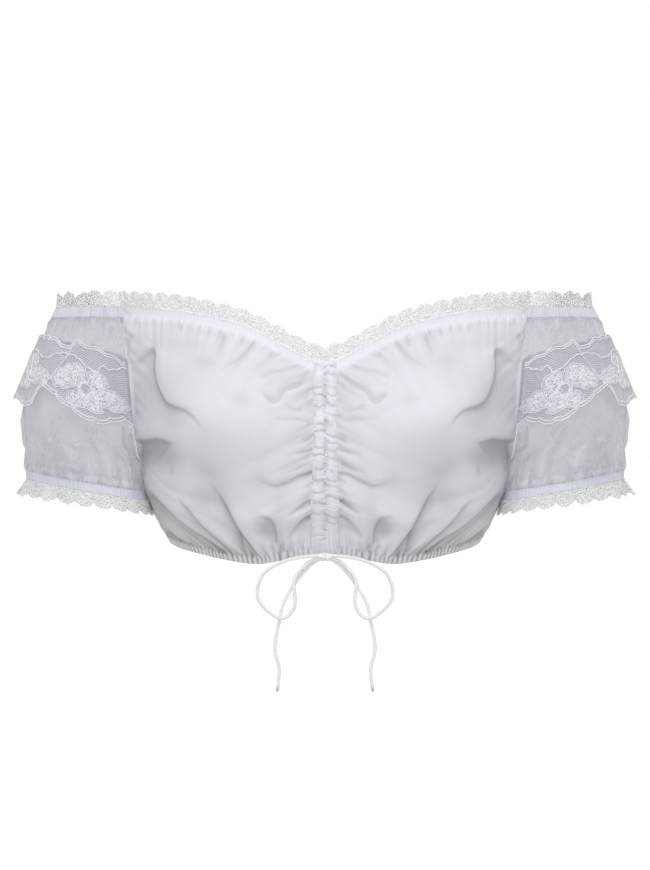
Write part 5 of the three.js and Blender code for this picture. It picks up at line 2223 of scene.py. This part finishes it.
@dataclass(frozen=True)
class LaceFlounce:
    """The tier of floral lace across one sleeve, in millimetres.

    top and hem are the sleeve's rises at the upper and lower edge, at the arm's outer side and next to
    the body, and reach is the share of the sleeve that it goes round. The tables give edges and the
    second border over the share from the outer side, as rises of the flounce.
    """

    side: Side
    top_out: float = 0.84
    top_in: float = 0.74
    hem_out: float = 0.44
    hem_in: float = 0.37
    reach: float = 0.97
    width: float = 250.0
    height: float = 62.0
    scallop: float = 13.0
    head_wave: float = 17.0
    second_wave: float = 9.0
    columns: int = 270
    rows: int = 60
    thick: float = 0.35
    stand_off: float = 2.2
    flare: float = 3.6
    wave: float = 2.2
    ripple: float = 0.7
    fold_lift: float = 1.0
    scallop_depth: float = 2.4
    head_depth: float = 1.8
    second_depth: float = 1.2
    relief: float = 0.35
    net_work: float = 0.16
    fold_work: float = 0.3
    thread_lift: float = 0.45
    hem: ClassVar[SmoothTable] = SmoothTable(
        (0, 0.145, 0.25, 0.345, 0.415, 0.54, 0.65, 0.75, 0.82, 0.925, 1.0),
        (0.06, 0.07, 0.04, 0.05, 0.32, 0.19, 0.08, 0.0, 0.02, 0.09, 0.03))
    back_hem: ClassVar[SmoothTable] = SmoothTable(
        (0, 0.15, 0.3, 0.415, 0.54, 0.65, 0.75, 0.85, 1.0),
        (0.06, 0.2, 0.32, 0.34, 0.24, 0.12, 0.04, 0.06, 0.03))
    head: ClassVar[SmoothTable] = SmoothTable(
        (0, 0.215, 0.45, 0.58, 0.645, 0.73, 0.8, 0.89, 1.0),
        (1.0, 1.01, 1.0, 0.93, 1.05, 1.0, 1.01, 0.97, 0.93))
    second: ClassVar[SmoothTable] = SmoothTable(
        (0, 0.2, 0.4, 0.5, 0.64, 0.71, 0.785, 0.825, 0.88, 0.98, 1.0),
        (0.72, 0.78, 0.7, 0.79, 0.8, 0.72, 0.66, 0.76, 0.74, 0.83, 0.84))

    def hang(self, share: Array, rise: Array) -> Array:
        """How far the flounce stands off the sleeve.

        Args:
            share: places round it.
            rise: its rise.

        Returns:
            The distance at each place.
        """
        flare = self.flare * np.cos(math.pi / 2 * np.clip(share, -1, 1)) ** 0.6
        wave = self.wave * (0.5 + 0.5 * np.cos(6 * math.pi * share))
        small = self.ripple * np.sin(2 * math.pi * (share * 9.0 + 0.5 * wander(share, 0.2, 131)))
        flap = self.fold_lift * smooth((self.fold(rise) - np.abs(share)) / 0.03)
        return self.stand_off + flap + np.clip(1 - rise, 0.0, 2.0) ** 1.4 * (flare + wave + small)

    def fold(self, rise: Array) -> Array:
        """The share where the outer part of the flounce folds over the rest."""
        return 0.31 + 0.32 * rise

    def on_sleeve(self, share: Array, rise: Array) -> Array:
        """Points of the sleeve behind the flounce's shares and rises.

        Args:
            share: places across the flounce, from -1 to 1.
            rise: places up it, from 0 to 1.

        Returns:
            The points on the sleeve.
        """
        top = mix(self.top_out, self.top_in, share * share)
        hem = mix(self.hem_out, self.hem_in, np.abs(share))
        return FORM.sleeve(share * self.reach, mix(hem, top, rise))

    def points(self, share: Array, rise: Array, lift: float = 0.0) -> Array:
        """Points of the flounce on the wearer's left arm.

        Args:
            share: places round it.
            rise: its rise.
            lift: how far further out than the flounce's face.

        Returns:
            The points.
        """
        share, rise = np.broadcast_arrays(np.asarray(share, float), np.asarray(rise, float))
        outward = unit(np.cross(*steps_along(self.on_sleeve, share, rise)))
        return self.on_sleeve(share, rise) + outward * (self.hang(share, rise) + lift)[..., None]

    def hem_rise(self, share: Array, inset: float = 0.0) -> Array:
        """The rise of the scalloped lower edge, inset upwards by a distance.

        Args:
            share: places across the flounce.
            inset: a distance in millimetres.

        Returns:
            The edge's rise at each share.
        """
        arch = half_circles(share * self.width / 2 / self.scallop + 0.2 * wander(share, 0.3, 133))
        level = np.where(share > 0.0, self.back_hem.at(share), self.hem.at(-share))
        return level + (self.scallop_depth * (1.0 - arch) + inset) / self.height

    def head_rise(self, share: Array, inset: float = 0.0) -> Array:
        """The rise of the waved upper edge, inset downwards by a distance."""
        arch = ridged(share * self.width / 2 / self.head_wave + 0.3 * wander(share, 0.3, 134))
        return self.head.at(np.abs(share)) - (self.head_depth * (1.0 - arch) + inset) / self.height

    def motif(self, share: Array, rise: Array) -> Array:
        """How close the lace is.

        Args:
            share: places round the flounce.
            rise: its rise.

        Returns:
            Near 1 in the flowers, under 0.2 in the net, and in lines on the part folded over.
        """
        x, y = -share * self.width / 2, rise * self.height
        density_wear_and_painted_light = np.zeros(np.broadcast(x, y).shape)
        for flower in FLOWERS:
            density_wear_and_painted_light = np.maximum(density_wear_and_painted_light, flower.density(x, y))
        drift = 0.5 + 0.5 * wander(x + 1.7 * y, 9.0, 135) * wander(x - 1.3 * y, 7.0, 136)
        flap = smooth((self.fold(rise) - np.abs(share)) / 0.01)
        lines = ridged((0.8 * x + y) / 3.4, 2.0)
        return np.maximum(density_wear_and_painted_light, self.net_work * drift + self.fold_work * flap * lines)

    def build(self, shop: Workshop) -> None:
        """Makes the lace cloth and its laid threads.

        Args:
            shop: what it is made with.
        """
        word = self.side.word
        share = np.linspace(-1.0, 1.0, self.columns + 1)[None]
        level = np.linspace(0.0, 1.0, self.rows + 1)[:, None]
        rise = mix(self.hem_rise(share), self.head_rise(share), level)
        values = self.motif(share, rise)
        marks = turned(values, self.side)
        outer = mirrored(self.points(share, rise), self.side)
        _, _, outward = grid_directions(outer)
        outer = outer + outward * (self.relief * marks)[..., None]
        inner = mirrored(self.points(share, rise, -self.thick), self.side)
        cloth = wall_from_grids(f"flounce_lace_{word}", outer, inner, shop.finishes.flounce,
                                (self.width * MM, self.height * MM), values=marks)
        shop.keep(cloth, "flounce_lace", f"sleeve_flounce_{word}")
        heavy, light = self.lines()
        borders = shop.thread(f"flounce_borders_{word}", heavy, "flounce_lace", 0.62)
        outlines = shop.thread(f"flounce_outlines_{word}", light, "flounce_lace", 0.42, 4)

    def lines(self) -> tuple[list[Array], list[Array]]:
        """The heavy border threads and the finer outline threads."""
        share = np.linspace(-1.0, 1.0, 440)
        heavy = [self.line(share, self.hem_rise(share, inset)) for inset in (0.2, 2.6)]
        heavy += [self.line(share, self.head_rise(share, inset)) for inset in (0.2, 2.2)]
        wave = self.second_depth * ridged(share * self.width / 2 / self.second_wave) / self.height
        heavy.append(self.line(share, self.second.at(np.abs(share)) + wave))
        rise = np.linspace(0.34, 0.9, 60)
        light = [self.line(-self.fold(rise), rise)]
        for flower in FLOWERS:
            light += [self.line(-x / (self.width / 2), y / self.height) for x, y in flower.outlines()]
        return heavy, light

    def line(self, share: Array, rise: Array) -> Array:
        """Points of a thread that lies on the flounce."""
        points = self.points(np.clip(share, -1.0, 1.0), rise, self.thread_lift)
        return points * np.array([self.side.value, 1.0, 1.0])


# The crochet edgings


@dataclass(frozen=True)
class EdgeFrames:
    """Points along an edge, the way the lace stands there and the way out of the body."""

    point: Array
    away: Array
    outward: Array

    def read(self, data: Array, turn: Array) -> Array:
        """One of the three at shares of the way round."""
        places = np.linspace(0.0, 1.0, len(data))
        return np.stack([np.interp(turn, places, data[:, k]) for k in range(3)], axis=-1)

    def at(self, turn: Array) -> tuple[Array, Array, Array]:
        """The point and the two directions at shares of the way round."""
        away, outward = self.read(self.away, turn), self.read(self.outward, turn)
        return self.read(self.point, turn), unit(away), unit(outward)


def edge_frames(surface: Surface, rise: float, up: float, count: int) -> EdgeFrames:
    """Frames along an edge of a surface.

    Args:
        surface: points of share and rise.
        rise: the edge's rise.
        up: 1 where the cloth ends upwards, -1 where it ends downwards.
        count: how many steps.

    Returns:
        The frames, from share -1 to 1.
    """
    share = np.linspace(-1.0, 1.0, count + 1)
    point = surface(share, rise)
    away = unit(point - surface(share, rise - up * 0.02))
    return EdgeFrames(point, away, unit(np.cross(*steps_along(surface, share, rise))))


@dataclass(frozen=True)
class CrochetEdging:
    """A scalloped crochet edging along a ring of frames, in millimetres.

    lean is how far its free edge stands out, notch how deep it is cut between scallops and close the
    share of close thread work in its ground, each over the way round from 0 to 1. flat is its flat size
    in metres. ring_arcs are the arcs of thread rings in a scallop, each with its share of the height,
    its number of rings and their size, and base_rings the number, height and size of those below.
    """

    name: str
    node: str
    frames: EdgeFrames
    scallops: int
    lean: Curve
    notch: Curve
    close: Curve
    seat: float = -0.8
    height: float = 14.2
    thread: float = 0.3
    tilt: float = 0.35
    ground_lift: float = 0.1
    ground_under: float = -0.35
    ring_lift: float = 0.35
    columns: int = 14
    rows: int = 6
    ring_arcs: ClassVar[tuple[tuple[float, int, float], ...]] = (
        (0.98, 9, 1.25), (0.72, 7, 1.3), (0.46, 5, 1.3), (0.2, 3, 1.2))
    base_rings: ClassVar[tuple[int, float, float]] = (6, 1.2, 1.35)
    upward: bool = True
    seed: int = 7
    flat: tuple[float, float] = (1.3, 0.015)

    def top(self, turn: Array) -> Array:
        """The lace's height at each turn: round scallops of small loops, with notches between.

        Args:
            turn: places along the lace, from 0 to 1.

        Returns:
            The heights in millimetres.
        """
        place = turn * self.scallops
        loops = 0.6 * ridged(4.0 * place) - 0.6
        return self.height - self.notch(turn) * (1.0 - half_circles(place)) + loops

    def place(self, turn: Array, tall: Array, lift: float = 0.0) -> tuple[Array, Array, Array]:
        """Where the lace is.

        Args:
            turn: shares of the way round.
            tall: heights over the edge.
            lift: how far outwards of the lace's middle.

        Returns:
            The points, the way the lace stands and the way out.
        """
        point, away, outward = self.frames.at(turn)
        level = tall / self.height
        leaning = self.lean(turn) * level + lift
        spot = point + away * (tall - self.seat)[..., None] + outward * leaning[..., None]
        return spot, away, outward

    def ground(self, shop: Workshop) -> bpy.types.Object:
        """Makes the ground of the lace, a thin wall.

        Args:
            shop: what it is made with.

        Returns:
            The ground.
        """
        turn = np.linspace(0.0, 1.0, self.scallops * self.columns + 1)[None]
        level = np.linspace(0.0, 1.0, self.rows + 1)[:, None]
        tall = level * (self.top(turn) - 0.6)
        turn = np.broadcast_to(turn, tall.shape)
        outer, _, _ = self.place(turn, tall, self.ground_lift)
        inner, _, _ = self.place(turn, tall, self.ground_under)
        if not self.upward:
            outer, inner = outer[::-1], inner[::-1]
        values = self.close(turn)
        return wall_from_grids(f"{self.name}_crochet_ground", outer, inner, shop.finishes.edging, self.flat,
                               ring=True, values=values if self.upward else values[::-1])

    def rings(self) -> bpy.types.Mesh:
        """The points where the small thread rings lie."""
        turns, heights, sizes = [], [], []
        pitch = self.flat[0] / MM / self.scallops
        for radius, number, size in self.ring_arcs:
            angle = np.linspace(0.06, 0.94, number) * math.pi
            x = 0.5 - 0.47 * radius * np.cos(angle)
            y = 2.4 + (self.height - 3.4) * radius * np.sin(angle) ** 0.8
            turns.append(x)
            heights.append(y)
            sizes.append(np.full(number, size))
        number, height, size = self.base_rings
        turns.append((np.arange(number) + 0.5) / number)
        heights.append(np.full(number, height))
        sizes.append(np.full(number, size))
        x, y, size = (np.concatenate(part) for part in (turns, heights, sizes))
        rng = np.random.default_rng(self.seed)
        whole = (np.arange(self.scallops)[:, None] + x[None]).ravel()
        tall = np.tile(y, self.scallops)
        size = np.tile(size, self.scallops) * rng.uniform(0.85, 1.15, whole.size)
        turn = np.clip((whole + rng.normal(0.0, 0.012, whole.size)) / self.scallops, 0.0, 1.0)
        tall = np.minimum(tall + rng.normal(0.0, 0.2, whole.size), self.top(turn) + 0.2)
        spots, away, outward = self.place(turn, tall, self.ring_lift)
        size = size * np.clip(pitch / 16.0, 0.8, 1.1)
        return point_mesh(self.name, spots, outward, away, size)

    def build(self, shop: Workshop) -> None:
        """Makes the edging.

        Args:
            shop: what it is made with.
        """
        ground = self.ground(shop)
        shop.keep(ground, "lace_edging", self.node)
        rings = grown(f"{self.name}_crochet_rings", self.rings(), shop.rings, {
            "Thread": self.thread, "Tilt": self.tilt, "Seed": self.seed, "Finish": shop.finishes.crochet})
        shop.keep(rings, "lace_edging")


def mirror_frames(frames: EdgeFrames) -> EdgeFrames:
    """The same edge on the wearer's right, from its far end back."""
    flip = np.array([-1.0, 1.0, 1.0])
    return EdgeFrames(*((part * flip)[::-1] for part in (frames.point, frames.away, frames.outward)))


def neck_edging() -> CrochetEdging:
    """The edging all round the neckline: front, left sleeve, back and right sleeve."""
    front = edge_frames(lambda s, r: FORM.panel(Panel.FRONT, s, r).points(), 1.0, 1.0, 26 * 16)
    back = edge_frames(lambda s, r: FORM.panel(Panel.BACK, s, r).points(), 1.0, 1.0, 24 * 16)
    left = edge_frames(FORM.sleeve, 1.0, 1.0, 12 * 16)
    right = mirror_frames(left)
    joined = [np.concatenate([
        getattr(right, part)[-1:], getattr(front, part)[1:-1], getattr(left, part),
        getattr(back, part)[1:-1], getattr(right, part)]) for part in ("point", "away", "outward")]
    total = 26 + 12 + 24 + 12

    def sleeve(turn: Array) -> Array:
        """1 on the sleeves and 0 on the body."""
        near = np.minimum(np.abs(turn - 32 / total), np.abs(turn - 68 / total)) * total / 12
        return smooth((0.5 - near) * 6)

    def lean(turn: Array) -> Array:
        """Upright on the body, ruffled on the sleeves."""
        ruffle = 3.4 * np.sin(2 * math.pi * 37 * turn) + 1.4 * np.sin(2 * math.pi * 61 * turn)
        return sleeve(turn) * (1.5 + ruffle) + 0.7 * np.sin(2 * math.pi * 111 * turn)

    return CrochetEdging("neck", "neck_lace", EdgeFrames(*joined), total, lean, seed=17,
                         notch=lambda turn: 2.6 + 2.6 * sleeve(turn),
                         close=lambda turn: 1.0 - 0.85 * sleeve(turn), flat=(1.22, 0.0145))


def cuff_edging(side: Side) -> CrochetEdging:
    """The edging that flares from one cuff.

    Args:
        side: whose cuff.

    Returns:
        The edging.
    """
    scallops = 22
    frames = edge_frames(FORM.sleeve, 0.0, -1.0, scallops * 16)
    if side is Side.RIGHT:
        frames = mirror_frames(frames)

    def lean(turn: Array) -> Array:
        """Flared and ruffled on the arm's outer side, upright next to the body."""
        ruffle = 2.6 * np.sin(2 * math.pi * 11 * turn) + 1.0 * np.sin(2 * math.pi * 17 * turn)
        return (0.5 - 0.5 * np.cos(2 * math.pi * turn)) * (9.0 + ruffle)

    return CrochetEdging(f"cuff_{side.word}", f"cuff_lace_{side.word}", frames, scallops, lean,
                         notch=lambda turn: np.full_like(turn, 4.8),
                         close=lambda turn: np.full_like(turn, 0.6), upward=False,
                         seed=23 + side.value, flat=(0.33, 0.0145))


# Putting it together


def main() -> None:
    """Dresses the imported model."""
    logging.basicConfig(level=logging.INFO, format="%(name)s: %(message)s")
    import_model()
    Studio().build()
    shop = Workshop()
    Bow().build(shop)
    FRONT.build(shop)
    BACK.build(shop)
    DrawstringChannel().build(shop)
    for side in Side:
        SheerSleeve(side).build(shop)
        LaceFlounce(side).build(shop)
        cuff_edging(side).build(shop)
    neck_edging().build(shop)


if __name__ == "__main__":
    main()
